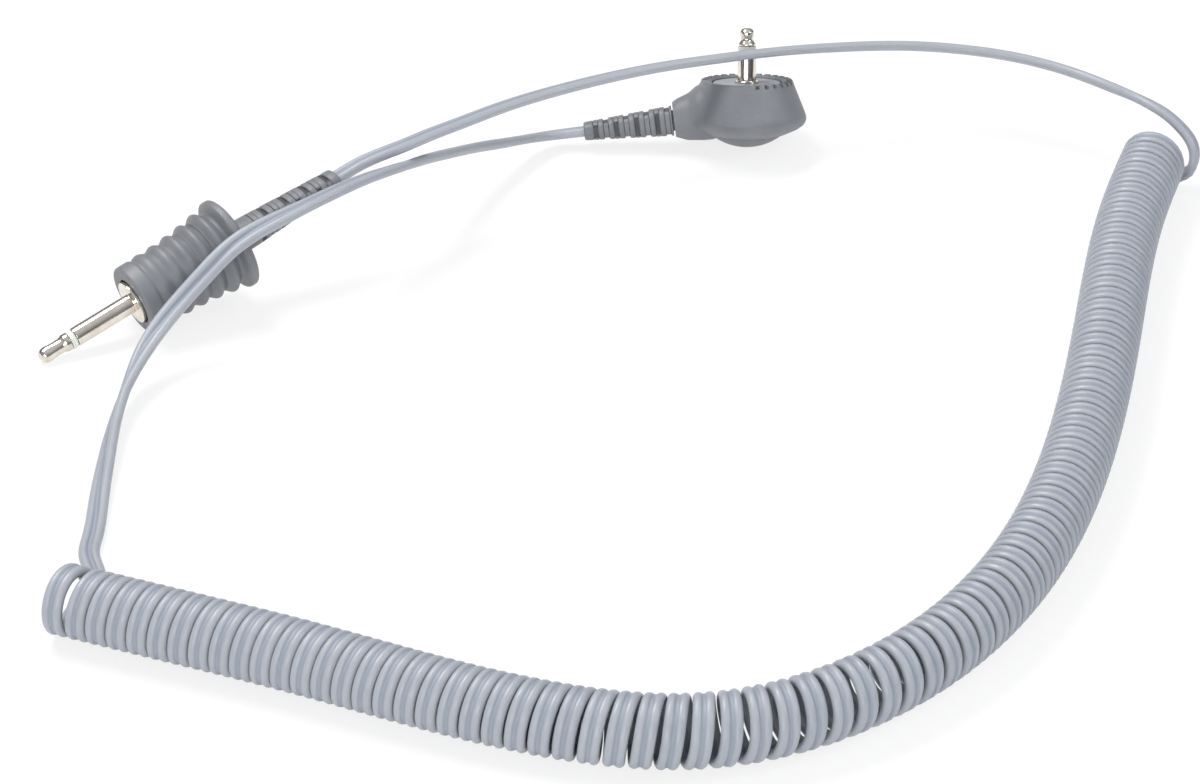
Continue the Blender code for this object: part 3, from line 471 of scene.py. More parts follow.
# %% Shader maths
class Wire:
    """An output of a shader node, used in sums as if it were a number."""

    def __init__(self, tree, socket):
        self.tree = tree
        self.socket = socket

    def feed(self, socket, value):
        """Links a wire to an input, or sets the input to a number, a vector or a colour."""
        if isinstance(value, Wire):
            self.tree.links.new(value.socket, socket)
        elif socket.type == "RGBA" and len(value) == 3:
            socket.default_value = (*value, 1)
        else:
            socket.default_value = value

    def node(self, kind, settings=None, inputs=None, output=0):
        """A new node with its settings made first, then its inputs, by name or number."""
        made = self.tree.nodes.new(kind)
        for name, value in (settings or {}).items():
            setattr(made, name, value)
        for name, value in (inputs or {}).items():
            self.feed(made.inputs[name], value)
        return Wire(self.tree, made.outputs[output])

    def maths(self, operation, *values):
        """A Math node on numbers and wires."""
        return self.node("ShaderNodeMath", {"operation": operation}, dict(enumerate(values)))

    def __add__(self, other):
        return self.maths("ADD", self, other)

    def __radd__(self, other):
        return self.maths("ADD", other, self)

    def __sub__(self, other):
        return self.maths("SUBTRACT", self, other)

    def __rsub__(self, other):
        return self.maths("SUBTRACT", other, self)

    def __mul__(self, other):
        return self.maths("MULTIPLY", self, other)

    def __rmul__(self, other):
        return self.maths("MULTIPLY", other, self)

    def clamp(self, low, high):
        """This number brought from a range to 0..1."""
        return self.node("ShaderNodeMapRange", {}, {0: self, 1: low, 2: high})

    def mix(self, first, second):
        """The first colour where this wire is 0 and the second where it is 1."""
        settings = {"data_type": "RGBA"}
        return self.node("ShaderNodeMix", settings, {0: self, 6: first, 7: second}, 2)

    def noise(self, scale, detail=2.0, roughness=0.5):
        """Smooth noise at the place that this wire gives, about 0.5 on average."""
        inputs = {"Vector": self, "Scale": scale, "Detail": detail, "Roughness": roughness}
        return self.node("ShaderNodeTexNoise", {}, inputs)

    def stretched(self, x, y, z):
        """This place with its axes scaled."""
        settings = {"operation": "MULTIPLY"}
        return self.node("ShaderNodeVectorMath", settings, {0: self, 1: (x, y, z)})

    def kept(self, name):
        """The number that a mesh keeps on its points under a name, or else 0."""
        return self.node("ShaderNodeAttribute", {"attribute_name": name}, output=2)


def new_material(name):
    """A material with its shader, and a wire of the place on the object, in metres."""
    material = bpy.data.materials.new(name)
    material.use_nodes = True
    tree = material.node_tree
    coordinates = tree.nodes.new("ShaderNodeTexCoord")
    return material, tree.nodes["Principled BSDF"], Wire(tree, coordinates.outputs["Object"])


def finish_material(shader, place, colour, roughness, height, depth, metallic=0.0):
    """Feeds what varies to the shader, and sets what doesn't on its own sockets."""
    shader.inputs["Metallic"].default_value = metallic
    place.feed(shader.inputs["Base Color"], colour)
    place.feed(shader.inputs["Roughness"], roughness)
    relief = {"Strength": 1.0, "Distance": depth, "Height": height}
    place.feed(shader.inputs["Normal"], place.node("ShaderNodeBump", {}, relief))


print("shader maths ready")

# %% [markdown]
# ## The materials
#
# The jacket is soft grey vinyl. It is drawn out of a die, so its fine lines run along it,
# and it is handled, so it is a little shinier where hands and the bench rub the ridges.
# Wide noise shifts its grey from one stretch to the next, and small noise adds specks.

# %% Cord jacket
jacket, shader, place = new_material("cord_jacket")
groove = place.kept("groove")
on_cord = place.node("ShaderNodeCombineXYZ", {}, {0: place.kept("around"), 1: place.kept("along")})
drawn = on_cord.stretched(1.0, 0.03, 1.0).noise(9000, 2.0)
batches = on_cord.stretched(0.0, 1.0, 0.0).noise(24, 3.0)
blotches = place.noise(500, 3.0, 0.6)
specks = place.noise(5200, 1.0).clamp(0.70, 0.78)
rubbed = (1 - groove) * place.noise(260, 2.0).clamp(0.48, 0.68)
colour = batches.clamp(0.35, 0.65).mix((0.305, 0.325, 0.365), (0.335, 0.355, 0.39))
colour = (blotches.clamp(0.3, 0.7) * 0.35).mix(colour, (0.36, 0.375, 0.405))
# Painted shade: the sunken web between the two ridges is darkened and tinted blue.
colour = (groove * 0.55).mix(colour, (0.20, 0.235, 0.295))
colour = (specks * 0.22).mix(colour, (0.16, 0.17, 0.19))
roughness = 0.40 - 0.10 * rubbed + 0.08 * groove + 0.05 * drawn
height = drawn * 0.6 + place.noise(3000, 2.0) * 0.5
finish_material(shader, place, colour, roughness, height, 0.012 * MM)
print("jacket:", len(jacket.node_tree.nodes), "nodes")

# %% [markdown]
# The plugs are moulded from a darker, harder vinyl. The mould leaves a fine even grain, the
# flow of the melt leaves faint marks, and use leaves paler scuffs. One function makes this
# finish in any colour, so the plate, the insulators and the hidden pieces get it too.

# %% Moulded plastics
def moulded(name, dark, light, scuffed, dull):
    """A moulded plastic: fine grain, faint flow marks, paler scuffs, and painted shade in slots
    and bores.
    """
    made, shader, place = new_material(name)
    grain = place.noise(7000, 2.0, 0.6)
    flow = place.stretched(1.0, 1.0, 0.35).noise(170, 3.0)
    scuffs = place.stretched(0.25, 1.0, 1.0).noise(1500, 3.0, 0.7).clamp(0.63, 0.75)
    dust = place.noise(2600, 1.0).clamp(0.71, 0.77)
    colour = flow.clamp(0.35, 0.65).mix(dark, light)
    colour = (scuffs * 0.25).mix(colour, scuffed)
    colour = (dust * 0.35).mix(colour, scuffed)
    # Painted shade: points marked inside slots and bores are darkened nearly to black.
    colour = (place.kept("painted_shade") * 0.75).mix(colour, (0.02, 0.02, 0.026))
    roughness = dull + 0.10 * flow - 0.08 * scuffs + 0.06 * grain
    finish_material(shader, place, colour, roughness, grain + flow * 0.4, 0.02 * MM)
    return made


plastics = {  # slot: name, two shades of it, the colour of its scuffs, how dull it is
    "plug": (
        "plug_grey", (0.150, 0.158, 0.172), (0.178, 0.186, 0.200), (0.27, 0.28, 0.30), 0.40,
    ),
    "plate": ("plate_grey", (0.30, 0.31, 0.34), (0.35, 0.36, 0.39), (0.44, 0.45, 0.47), 0.38),
    "insulator": (
        "insulator", (0.60, 0.63, 0.60), (0.68, 0.70, 0.66), (0.74, 0.75, 0.72), 0.30,
    ),
    "liner": ("liner_white", (0.74, 0.74, 0.72), (0.80, 0.80, 0.78), (0.84, 0.84, 0.82), 0.42),
    "resistor": (
        "resistor_body", (0.42, 0.52, 0.60), (0.48, 0.57, 0.64), (0.55, 0.62, 0.67), 0.30,
    ),
    "wire_red": (
        "red_vinyl", (0.40, 0.04, 0.035), (0.48, 0.055, 0.045), (0.52, 0.12, 0.10), 0.34,
    ),
    "wire_black": (
        "black_vinyl", (0.022, 0.022, 0.024), (0.035, 0.035, 0.037), (0.08, 0.08, 0.08), 0.34,
    ),
}
finishes = {slot: moulded(*recipe) for slot, recipe in plastics.items()}
finishes["cord"] = jacket
print("plastics:", ", ".join(plastics))

# %% [markdown]
# The pins are turned from brass and plated with nickel. The lathe leaves fine rings, and
# years of sockets leave fine scratches along the pin, so both are in the bump and in the
# roughness. Nickel is warmer than chrome: its reflection is a faint champagne.

# %% Plated metals
def plated(name, dark, light, smooth):
    """A bright metal with lathe rings round Z and wear along it."""
    made, shader, place = new_material(name)
    rings = place.stretched(0.02, 0.02, 1.0).noise(8000, 2.0)
    wear = place.stretched(1.0, 1.0, 0.05).noise(5000, 2.0)
    tarnish = place.noise(420, 3.0, 0.6)
    colour = tarnish.clamp(0.35, 0.7).mix(light, dark)
    roughness = smooth + 0.10 * tarnish.clamp(0.45, 0.75) + 0.06 * wear
    height = rings + wear * 0.6
    finish_material(shader, place, colour, roughness, height, 0.0007 * MM, metallic=1.0)
    return made


finishes["nickel"] = plated("nickel", (0.66, 0.60, 0.52), (0.84, 0.79, 0.71), 0.09)
finishes["lug"] = plated("tinned_lug", (0.52, 0.51, 0.50), (0.70, 0.70, 0.71), 0.24)
print("metals: nickel, lug")

# %% [markdown]
# The CAD's own nodes stay in the scene where no finer piece stands for them: lugs, washers,
# wires, resistors and the inner body, all hidden in the plugs. They get their finish too,
# so that they look right if the plugs are ever taken apart.

# %% Finishes of the CAD nodes
cord_mesh.materials.append(jacket)
for part in frame["record"]["subparts"]:
    for holder in nodes[part["node"]].material_slots:
        holder.material = finishes[part["material_slot"]]

# %% [markdown]
# ## Turned pieces
#
# Pins, grip, plate and cap are bodies of revolution, so each is one profile of radius and
# height, turned round Z in fine steps. No real edge is sharp, so every corner of a profile
# is first replaced by a short curve. That is what catches the light along an edge.

# %% Turning a profile
turning_steps = 112
gentle_bend = 0.94  # cosine of the bend up to which a profile's point is no corner
side_share = 0.45  # how much of a side the rounding may take
sharp_angle = math.radians(38)


def softened(profile, radius, closed):
    """The profile with its real corners rounded. Gentle bends are left as they are."""
    points = [np.array(point, float) for point in profile]
    smooth = []
    for i, corner in enumerate(points):
        if not closed and i in (0, len(points) - 1):
            smooth.append(corner)
            continue
        back, on = points[i - 1] - corner, points[(i + 1) % len(points)] - corner
        reach_back, reach_on = np.linalg.norm(back), np.linalg.norm(on)
        if -(back @ on) / (reach_back * reach_on) > gentle_bend:
            smooth.append(corner)
            continue
        start = corner + back / reach_back * min(radius, side_share * reach_back)
        end = corner + on / reach_on * min(radius, side_share * reach_on)
        for t in (0.0, 0.25, 0.5, 0.75, 1.0):
            smooth.append((1 - t) ** 2 * start + 2 * t * (1 - t) * corner + t * t * end)
    return smooth


def closed_mesh(name, points, faces):
    """A mesh with its faces turned outward, shaded smooth but for its sharp edges."""
    mesh = bpy.data.meshes.new(name)
    mesh.from_pydata(points, [], faces)
    bm = bmesh.new()
    bm.from_mesh(mesh)
    bmesh.ops.recalc_face_normals(bm, faces=bm.faces)
    bm.to_mesh(mesh)
    bm.free()
    mesh.shade_smooth()
    mesh.set_sharp_from_angle(angle=sharp_angle)
    return mesh


def turned(name, profile, edge=0.08 * MM):
    """A profile of (radius, height) turned round Z: a ring, or a solid if it ends on Z."""
    solid = profile[0][0] == 0 and profile[-1][0] == 0
    outline = softened(profile, edge, not solid)
    points, rings = [], []
    for radius, height in outline:
        if radius < 1e-9:  # on the axis, where a ring is one point
            rings.append([len(points)] * turning_steps)
            points.append((0, 0, height))
            continue
        rings.append(list(range(len(points), len(points) + turning_steps)))
        for i in range(turning_steps):
            turn = 2 * math.pi * i / turning_steps
            points.append((radius * math.cos(turn), radius * math.sin(turn), height))
    faces = []
    for first, second in zip(rings, rings[1:] if solid else rings[1:] + rings[:1]):
        for i in range(turning_steps):
            j = (i + 1) % turning_steps
            corners = [first[i], first[j], second[j], second[i]]
            faces.append(list(dict.fromkeys(corners)))
    return closed_mesh(name, points, faces)


def dress(name, mesh, place, slot, replaced):
    """Adds a piece that stands for a CAD node, with the finish of its slot."""
    mesh.materials.append(finishes[slot])
    piece = add_piece(name, mesh, place)
    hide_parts(replaced)


print("turning in", turning_steps, "steps")

# %% [markdown]
# ## The pins
#
# A jack pin is three turned pieces, one inside the next. The tip's rod runs down through
# an insulating tube, which shows outside as a pale ring, and the sleeve is round both.
# The jack's tip is long, with a ball end and a waist that a socket's spring drops into.

# %% Pins
def in_mm(rows):
    """Rows of numbers that are written in millimetres, in metres."""
    return [tuple(number * MM for number in row) for row in rows]


fit_gap = 0.15 * MM
rod_radius, bore_radius, pin_radius = 0.55 * MM, 1.25 * MM, 1.75 * MM
tube_inside, tube_outside, ring_radius = 0.7 * MM, 1.1 * MM, 1.7 * MM
lug_thickness, washer_thickness = 0.4 * MM, 0.7 * MM
stack_depth = 4 * fit_gap + 2 * lug_thickness + washer_thickness  # under a barrel
rivet_radius, rivet_height = 0.95 * MM, 0.5 * MM


def make_pin(name, place, length, ring_length, tip, seat):
    """Tip, insulator and sleeve. The tip's profile is (radius, distance from its end), and
    the seat's is (radius, height) from the seat down."""
    barrel_end = seat[-1][1]
    rivet = barrel_end - stack_depth
    base = length - tip[-1][1]
    ring_low = base - ring_length + fit_gap
    tip_profile = [(0, length)] + [(radius, length - back) for radius, back in tip] + [
        (rod_radius, base),
        (rod_radius, rivet),
        (rivet_radius, rivet),
        (rivet_radius, rivet - rivet_height),
        (0, rivet - rivet_height),
    ]
    contact = turned(f"{name}_tip_turned", tip_profile)
    dress(f"{name}_tip_turned", contact, place, "nickel", f"{name}_tip")
    ring_profile = [
        (tube_inside, base - fit_gap),
        (ring_radius, base - fit_gap),
        (ring_radius, ring_low),
        (tube_outside, ring_low),
        (tube_outside, barrel_end),
        (tube_inside, barrel_end),
    ]
    ring = turned(f"{name}_ring_turned", ring_profile)
    dress(f"{name}_ring_turned", ring, place, "insulator", f"{name}_insulator")
    sleeve_profile = [
        (bore_radius, ring_low - fit_gap),
        (pin_radius, ring_low - fit_gap),
        (pin_radius, 0.12 * MM),
        (pin_radius + 0.1 * MM, 0),
    ] + seat + [(bore_radius, barrel_end)]
    sleeve = turned(f"{name}_sleeve_turned", sleeve_profile)
    dress(f"{name}_sleeve_turned", sleeve, place, "nickel", f"{name}_sleeve")


print("pin radius:", pin_radius / MM, "mm")

# %% The jack's pin
jack_tip = in_mm(
    [
        (0.62, 0.08), (1.08, 0.38), (1.36, 0.8), (1.46, 1.3), (1.44, 1.85), (1.36, 2.4),
        (1.33, 3.2), (1.35, 4.5), (1.52, 4.95), (1.65, 5.15), (1.65, 6.0),
    ]
)
jack_seat = in_mm([(4.0, 0), (4.0, -1.2), (2.4, -1.2), (2.4, -3.6)])
make_pin(
    "jack", jack_place, jack_pin_length, ring_length=1.3 * MM, tip=jack_tip, seat=jack_seat
)
print("jack pin:", jack_pin_length / MM, "mm long")

# %% [markdown]
# The elbow's pin is half as long, and its tip is much shorter. In place of a collar its
# sleeve has a slim shoulder, which passes through the deck of the head to a flange that
# the deck holds down.

# %% The elbow plug's pin
deck_underside = 9.8 * MM
elbow_pin_length = 10.0 * MM
elbow_tip = in_mm(
    [
        (0.62, 0.06), (1.05, 0.3), (1.3, 0.7), (1.34, 1.1), (1.26, 1.55), (1.14, 2.0),
        (1.18, 2.3), (1.6, 2.95), (1.6, 3.3),
    ]
)
flange_top = deck_underside - seat_gap - elbow_seat_height
elbow_seat = [
    (2.1 * MM, 0),
    (2.1 * MM, flange_top),
    (3.2 * MM, flange_top),
    (3.2 * MM, flange_top - 0.8 * MM),
]
make_pin(
    "elbow", elbow_pin_place, elbow_pin_length, ring_length=1.0 * MM, tip=elbow_tip,
    seat=elbow_seat,
)
print("elbow pin:", elbow_pin_length / MM, "mm long")

# %% [markdown]
# ## The ribbed grip
#
# Five ribs swell towards the flange, so that fingers pull on the plug and not on the cord.
# Crests and valleys are both round, which a cosine gives, and a power a little under 1
# makes the crests a touch broader. The ribs get deeper towards the flange. The grip is
# moulded round a core, so it is a ring with a bore.

# %% Grip
rib_count, rib_pitch = 5, 3.08 * MM
rib_tops = [-5.2 * MM - rib_pitch * i for i in range(rib_count)]
rib_radii = [(6.75 + 1.1 * (i / (rib_count - 1)) ** 2) * MM for i in range(rib_count)]
rib_depths = [(0.5 + 0.14 * i) * MM for i in range(rib_count)]
rib_span, rib_points, crest_power = 0.97, 17, 0.85  # the span is a share of the pitch


def ribbed_side():
    """(radius, height) down the ribs, from the plain front to the flange."""
    points = []
    for top, radius, depth in zip(rib_tops, rib_radii, rib_depths):
        for share in np.linspace(rib_span, -rib_span, rib_points):
            crest = (0.5 + 0.5 * math.cos(share * math.pi)) ** crest_power
            points.append((radius - depth * (1 - crest), top + share * rib_pitch / 2))
    return points


grip_front = in_mm([(6.25, -0.5), (6.6, -0.85), (6.62, -3.2)])
grip_rim = in_mm([(7.0, -19.55), (7.9, -19.95), (8.6, -20.3), (8.6, -21.5), (7.9, -21.95)])
grip_bore = in_mm(
    [(3.3, -21.95), (3.3, -20.85), (4.9, -20.85), (4.9, -1.2), (4.3, -1.2), (4.3, -0.5)]
)
grip_profile = grip_front + ribbed_side() + grip_rim + grip_bore
grip = turned("grip_ribbed", grip_profile, edge=0.28 * MM)
dress("grip_ribbed", grip, jack_place, "plug", "jack_grip")
print("grip profile:", len(grip_profile), "points")

# %% [markdown]
# ## The boots
#
# A boot is a tapered sleeve with slots cut turn and turn about into its flat sides and its
# edges. Each slot lets it bend a little, so the cord leaves in a curve and never kinks. It
# is drawn as many rings along its length, which the slots pinch in. Shade is painted into
# each slot and into the cord's bore: their points are marked for the material to darken.

# %% Boots
boot_power = 2.6
boot_points = 48
slot_half = 0.44 * MM
slot_depth = (0.55 * MM, 0.95 * MM)  # in the upper and lower faces, and in the edges
core_half = (1.22 * MM, 2.12 * MM)  # up and across, the least that a slot may leave
slot_count = 8
boot_front = (5.6 * MM, 6.0 * MM)  # up and across, at the plug
boot_narrows = (2.3 * MM, 1.2 * MM)  # by so much at the cord's end
cord_bore, bore_depth, bore_flare = (1.86 * MM, 3.66 * MM), 3.0 * MM, 1.06
slot_wall = 0.04 * MM
slot_edge = ((0.3, 0.0), (0.12, 0.04), (0.03, 0.12), (0.0, 0.24))  # mm before it, inset
rear_edge = ((0.4, 0.0), (0.15, 0.08), (0.04, 0.2), (0.0, 0.38))


def boot_ring(height, width):
    """Points (up, across) of a rounded rectangle."""
    turn = 2 * math.pi * (np.arange(boot_points) + 0.5) / boot_points
    up = np.sign(np.sin(turn)) * np.abs(np.sin(turn)) ** (2 / boot_power) * height / 2
    across = np.sign(np.cos(turn)) * np.abs(np.cos(turn)) ** (2 / boot_power) * width / 2
    return np.column_stack([up, across])


def joined_rings(name, rings):
    """A closed body through rings of boot_points points each."""
    points = [point for ring in rings for point in ring]
    faces = [list(range(boot_points)), [len(points) - 1 - i for i in range(boot_points)]]
    for i in range(len(rings) - 1):
        for j in range(boot_points):
            k = (j + 1) % boot_points
            a, b = i * boot_points, (i + 1) * boot_points
            faces.append([a + j, a + k, b + k, b + j])
    return closed_mesh(name, points, faces)


def make_boot_mesh(name, length, first_slot, pitch, edges_first, root):
    """Rings down a boot: its root, then each rib and slot, then a bore for the cord."""
    rings = [(height, boot_ring(up, across)) for height, up, across in root]
    painted_shade = [0.0] * len(rings)
    taper_from = (first_slot - slot_half) / 2

    def size(distance):
        share = max(0.0, (distance - taper_from) / (length - taper_from))
        return [full - share * less for full, less in zip(boot_front, boot_narrows)]

    def add(distance, inset=0.0, side=None):
        up, across = size(distance)
        ring = boot_ring(up - 2 * inset, across - 2 * inset)
        deep = np.zeros(boot_points)
        if side is not None:
            left = max(core_half[side], size(distance)[side] / 2 - slot_depth[side])
            deep = (np.abs(ring[:, side]) > left).astype(float)
            ring[:, side] = np.clip(ring[:, side], -left, left)
        rings.append((-distance, ring))
        painted_shade.append(deep)

    add(0.0, 0.1 * MM)
    add(0.12 * MM)
    for i in range(slot_count):
        starts, ends = (first_slot + i * pitch + way * slot_half for way in (-1, 1))
        side = 0 if i % 2 == edges_first else 1
        for step, inset in slot_edge:
            add(starts - step * MM, inset * MM)
        add(starts + slot_wall, 0.0, side)
        add(ends - slot_wall, 0.0, side)
        for step, inset in slot_edge[::-1]:
            add(ends + step * MM, inset * MM)
    for step, inset in rear_edge:
        add(length - step * MM, inset * MM)
    bore = boot_ring(*cord_bore)
    rings += [(-length, bore * bore_flare), (-length + 0.15 * MM, bore)]
    rings += [(-length + bore_depth, bore)]
    # Painted shade inside the cord's bore, deepening towards its end.
    painted_shade += [0.0, 0.6, 1.0]
    mesh = joined_rings(name, [[(up, across, z) for up, across in ring] for z, ring in rings])
    keep_on_points(mesh, "painted_shade", np.concatenate([np.ones(boot_points) * deep for deep in painted_shade]))
    return mesh


print("boots have", slot_count, "slots each")

# %% [markdown]
# The jack's boot has a wide root that the grip's rear wall holds, and the elbow's boot has
# a slim one inside the neck. The first slot of the jack's boot is in its edges, and that
# of the elbow's boot is in its flat faces.

# %% Both boots
root_height = 1.4 * MM  # the wall of the grip that the boot's root sits behind
jack_root = [
    (root_height + 2.3 * MM, 8.4 * MM, 8.4 * MM),
    (root_height, 8.4 * MM, 8.4 * MM),
    (root_height - 0.02 * MM, *boot_front),
]
elbow_root = in_mm([(2.6, 3.8, 4.4), (0.02, 3.8, 4.4)])
jack_boot = make_boot_mesh(
    "jack_boot_ribbed", jack_boot_length, first_slot=4.75 * MM, pitch=2.18 * MM,
    edges_first=True, root=jack_root,
)
elbow_boot = make_boot_mesh(
    "elbow_boot_ribbed", elbow_boot_length, first_slot=0.9 * MM, pitch=1.93 * MM,
    edges_first=False, root=elbow_root,
)
dress("jack_boot_ribbed", jack_boot, jack_boot_place, "plug", "jack_boot")
dress("elbow_boot_ribbed", elbow_boot, elbow_boot_place, "plug", "elbow_boot")
print("boots:", len(jack_boot.vertices), "and", len(elbow_boot.vertices), "points")

# %% [markdown]
# ## The elbow plug's head
#
# The head is one moulding: a round cup that grips the wristband's housing by its notched
# rim, and a neck that flows into it. The flow is made the way a sculptor would make it.
# The cup and the neck are joined as solids, remeshed into small even squares and smoothed,
# which rounds the corner between them. Only then are the crisp features cut.

# %% Solids for the head
def as_tool(name, mesh, place=None):
    """A mesh as an object that only cuts or joins."""
    obj = bpy.data.objects.new(name, mesh)
    bpy.context.scene.collection.objects.link(obj)
    if place is not None:
        obj.matrix_world = place
    return obj


def combine(target, tools, remesh=None, smoothing=0):
    """Joins and cuts the target by (tool, operation), then remeshes and smooths it."""
    for tool, operation in tools:
        modifier = target.modifiers.new(tool.name, "BOOLEAN")
        modifier.operation = operation
        modifier.object = tool
    if remesh:
        modifier = target.modifiers.new("remesh", "REMESH")
        modifier.mode = "VOXEL"
        modifier.voxel_size = remesh
        modifier = target.modifiers.new("smooth", "SMOOTH")
        modifier.iterations = smoothing
    bpy.context.view_layer.update()
    graph = bpy.context.evaluated_depsgraph_get()
    mesh = bpy.data.meshes.new_from_object(target.evaluated_get(graph))
    for tool, _ in tools:
        bpy.data.objects.remove(tool)
    target.modifiers.clear()
    target.data = mesh


def box_points(size, centre, turn=0.0):
    """The corners of a box, turned round Z after it is moved to its centre."""
    matrix = Matrix.Rotation(turn, 4, "Z") @ Matrix.Translation(centre)
    corners = [(x, y, z) for x in (-0.5, 0.5) for y in (-0.5, 0.5) for z in (-0.5, 0.5)]
    return [matrix @ Vector(c * s for c, s in zip(corner, size)) for corner in corners]


box_faces = [(0, 1, 3, 2), (4, 6, 7, 5), (0, 4, 5, 1), (2, 3, 7, 6), (0, 2, 6, 4), (1, 5, 7, 3)]


def boxes(name, several):
    """One mesh of separate boxes."""
    points, faces = [], []
    for box in several:
        faces += [[len(points) + i for i in face] for face in box_faces]
        points += [tuple(point) for point in box]
    return closed_mesh(name, points, faces)


rings_each = 6  # that a loft has for each of its sections


def loft(name, sections):
    """A body through (distance, width, height, lift) along Z, straight between sections."""
    sections = np.array(sections)
    fine = np.linspace(0, len(sections) - 1, rings_each * len(sections))
    knots = np.arange(len(sections))
    rows = np.column_stack([np.interp(fine, knots, column) for column in sections.T])
    rings = [
        [(lift + up, across, distance) for up, across in boot_ring(height, width)]
        for distance, width, height, lift in rows
    ]
    return joined_rings(name, rings)


print("tools for the head ready")

# %% [markdown]
# The cup is a turned profile, widest low down and narrowing to the rim as a cone. The neck
# is a loft through a few sections: as small as the boot at its mouth, and then wider until
# it is lost in the cup.

# %% Shape of the head
head_height, head_radius, rim_radius = 12.6 * MM, 11.25 * MM, 8.55 * MM
recess_radius, deck_top = 6.6 * MM, 11.0 * MM
cone_foot = 6.2 * MM
slope = (head_radius - rim_radius) / (head_height - cone_foot)
above = 2.0 * MM  # the cone goes on this far, so that smoothing can't blunt the rim
cup = turned(
    "cup",
    [
        (0, head_height + above),
        (rim_radius - slope * above, head_height + above),
        (head_radius - 0.15 * MM, cone_foot),
        (head_radius, 5.3 * MM),
        (head_radius - 0.4 * MM, 4.4 * MM),
        (head_radius - 1.5 * MM, 3.6 * MM),
        (6.8 * MM, 2.3 * MM),
        (0, 2.3 * MM),
    ],
)
neck_sections = in_mm(  # distance from the pin's axis, width, height and lift
    [
        (-14.4, 6.6, 6.1, -4.9),
        (-13.3, 7.0, 7.0, -5.4),
        (-11.0, 8.6, 8.7, -5.65),
        (-9.6, 10.2, 9.9, -6.3),
        (-8.0, 11.6, 10.7, -6.7),
        (-5.0, 12.4, 9.8, -6.6),
    ]
)
head = as_tool("elbow_head_moulded", cup)
neck = as_tool("neck", loft("neck", neck_sections), Matrix.Rotation(math.pi / 2, 4, "Y"))
combine(head, [(neck, "UNION")], remesh=0.28 * MM, smoothing=9)
print("head before its cuts:", len(head.data.vertices), "points")

# %% [markdown]
# Now the cuts, each a solid taken away from the smoothed one: a slab that leaves the flat
# top, a turned recess with a sloping edge, the hollow for the contacts, the channel and the
# trimmed mouth of the neck, and the notches of the rim. The picture shows a plain rim at
# the front left, so the notches leave that stretch out.

# %% Cuts of the head
notch_count, notch_width, notch_depth = 30, 0.8 * MM, 0.65 * MM
shoulder_hole = 2.4 * MM
plain_from, plain_to = 185, 282  # degrees of the rim without notches
top = boxes("top", [box_points((40 * MM, 40 * MM, 10 * MM), (0, 0, head_height + 5 * MM))])
recess = turned(
    "recess",
    [
        (0, head_height + 1 * MM),
        (rim_radius - 0.6 * MM, head_height + 1 * MM),
        (rim_radius - 0.95 * MM, head_height),
        (recess_radius, 12.2 * MM),
        (recess_radius, deck_top),
        (shoulder_hole, deck_top),
        (shoulder_hole, 8.0 * MM),
        (0, 8.0 * MM),
    ],
    edge=0.05 * MM,
)
cavity = turned(
    "cavity",
    [
        (0, deck_underside),
        (8.2 * MM, deck_underside),
        (8.2 * MM, 3.4 * MM),
        (6.8 * MM, 3.4 * MM),
        (6.8 * MM, -1.0 * MM),
        (0, -1.0 * MM),
    ],
)
channel_sections = in_mm([(-1.0, 5.0, 4.4, 0), (2.6, 5.0, 4.4, 0), (6.4, 8.0, 4.4, 0)])
channel = loft("channel", channel_sections)
trim = boxes("trim", [box_points((12 * MM, 12 * MM, 4 * MM), (0, 0, seat_gap - 2 * MM))])
notches = boxes(
    "notches",
    [
        box_points(
            (1.95 * MM, notch_width, 2 * notch_depth),
            (rim_radius - 0.18 * MM, 0, head_height),
            2 * math.pi * (i + 0.5) / notch_count,
        )
        for i in range(notch_count)
        if not plain_from < 360 * (i + 0.5) / notch_count < plain_to
    ],
)
print("notches:", len(notches.vertices) // 8)

# %% Cut the head
in_head = elbow_place.inverted() @ elbow_boot_place
combine(
    head,
    [
        (as_tool("top", top), "DIFFERENCE"),
        (as_tool("recess", recess), "DIFFERENCE"),
        (as_tool("cavity", cavity), "DIFFERENCE"),
        (as_tool("channel", channel, in_head), "DIFFERENCE"),
        (as_tool("trim", trim, in_head), "DIFFERENCE"),
        (as_tool("notches", notches), "DIFFERENCE"),
    ],
)
head_mesh = head.data
bpy.data.objects.remove(head)
head_mesh.materials.clear()
head_mesh.shade_smooth()
head_mesh.set_sharp_from_angle(angle=sharp_angle)
dress("elbow_head_moulded", head_mesh, elbow_place, "plug", "elbow_head")
print("head:", len(head_mesh.vertices), "points")

# %% [markdown]
# A paler plate lies on the floor of the recess, round the pin. A cap closes the head from
# below. Its underside is a part of a ball, which is why the plug leans as it lies.

# %% Plate and cap of the elbow plug
plate_profile = in_mm([(2.25, 12.1), (6.3, 12.1), (6.3, 11.3), (2.25, 11.3)])
plate = turned("floor_plate_turned", plate_profile)
dress("floor_plate_turned", plate, elbow_place, "plate", "elbow_floor_plate")
dome_edge, dome_steps = math.asin(dome_diameter / 2 / dome_ball), 24
cap_profile = in_mm([(0, 1.4), (5.3, 3.2), (6.5, 3.2)])
for turn in np.linspace(dome_edge, 0, dome_steps)[:-1]:
    cap_profile.append((dome_ball * math.sin(turn), dome_ball * (1 - math.cos(turn))))
cap_profile.append((0, 0))
cap = turned("base_cap_turned", cap_profile)
dress("base_cap_turned", cap, elbow_place, "plug", "elbow_base_cap")
print("cap profile:", len(cap_profile), "points")

# %% [markdown]
# ## Bench and light
#
# A product picture like this one is lit softly from above and cut out on white. So most of
# the white that the camera sees on the bench is shown by the ray that looks at it, and only
# a part is lit paint, which keeps the shadows as a faint trace. Metal sees the same white
# bench, and other pieces get the light that the paint throws back. Three large soft lamps
# give the ridges their streaks, and the dim room gives the metal its dark bands.

# %% Bench
def sees_background(place):
    """1 for rays that show the background: straight, mirrored or through glass."""
    path = place.tree.nodes.new("ShaderNodeLightPath")
    straight, mirrored, through = (
        Wire(place.tree, path.outputs[name])
        for name in ("Is Camera Ray", "Is Glossy Ray", "Is Transmission Ray")
    )
    return place.maths("MINIMUM", straight + mirrored + through, 1.0)


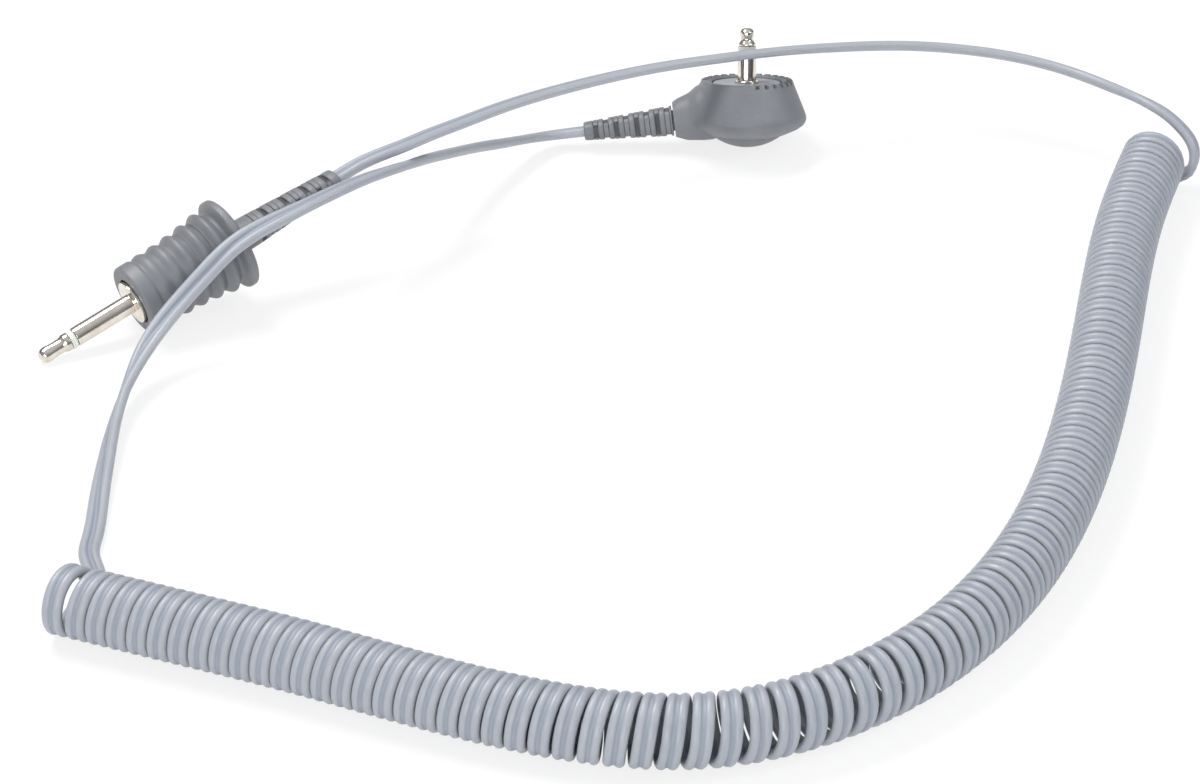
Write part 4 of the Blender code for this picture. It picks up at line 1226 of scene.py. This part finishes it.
bench_reach, bench_gap = 4.0, 0.02 * MM
shown_share = 0.8  # of the bench's white, the rest is lit paint
bench_mesh = bpy.data.meshes.new("bench")
bench_mesh.from_pydata(
    [(x * bench_reach, y * bench_reach, 0) for x, y in ((-1, -1), (1, -1), (1, 1), (-1, 1))],
    [],
    [(0, 1, 2, 3)],
)
bench = bpy.data.objects.new("bench", bench_mesh)
bench.location.z = -bench_gap
bpy.context.scene.collection.objects.link(bench)
bench_white, shader, place = new_material("bench_white")
place.feed(shader.inputs["Base Color"], (0.90, 0.90, 0.905))
shader.inputs["Roughness"].default_value = 0.8
glow = place.node("ShaderNodeEmission", {}, {"Color": (1, 1, 1), "Strength": 1.0})
paint = Wire(place.tree, shader.outputs[0])
factor = sees_background(place) * shown_share
shown = place.node("ShaderNodeMixShader", {}, {0: factor, 1: paint, 2: glow})
place.feed(bench_white.node_tree.nodes["Material Output"].inputs["Surface"], shown)
bench_mesh.materials.append(bench_white)
print("bench", bench_reach * 2, "m wide")

# %% [markdown]
# Where the camera looks past the bench it sees white. The room itself only lights the
# object and shows in the metal: dim near the bench and brighter overhead. The key lamp is
# above and behind, the fill lamp is on the right, and a wide low lamp in front reaches the
# lower halves of the curls.

# %% Room and lamps
room = bpy.data.worlds.new("room")
room.use_nodes = True
sky = room.node_tree.nodes["Background"]
facing = room.node_tree.nodes.new("ShaderNodeTexCoord")
way = Wire(room.node_tree, facing.outputs["Generated"])
upward = way.node("ShaderNodeSeparateXYZ", {}, {0: way}, 2)
walls = upward.clamp(0.1, 0.95).mix((0.06, 0.063, 0.075), (0.66, 0.67, 0.70))
straight = way.node("ShaderNodeLightPath")
way.feed(sky.inputs["Color"], straight.mix(walls, (1.0, 1.0, 1.0)))
sky.inputs["Strength"].default_value = 1.0
bpy.context.scene.world = room
object_middle = Vector((0.035, -0.055, 0.0))


def lamp(name, place, size, power, colour):
    """A large soft lamp that looks at the middle of the object."""
    data = bpy.data.lights.new(name, "AREA")
    data.shape = "RECTANGLE"
    data.size, data.size_y = size
    data.energy = power
    data.color = colour
    obj = bpy.data.objects.new(name, data)
    obj.location = place
    aim = object_middle - Vector(place)
    obj.rotation_euler = aim.to_track_quat("-Z", "Y").to_euler()
    bpy.context.scene.collection.objects.link(obj)


lamp("key_lamp", (-0.30, 0.20, 0.70), (0.45, 0.25), 5.6, (1.0, 0.99, 0.97))
lamp("fill_lamp", (0.60, -0.20, 0.50), (0.20, 0.50), 2.0, (0.95, 0.97, 1.0))
lamp("front_lamp", (-0.15, -0.75, 0.22), (0.60, 0.25), 2.8, (1.0, 1.0, 1.0))
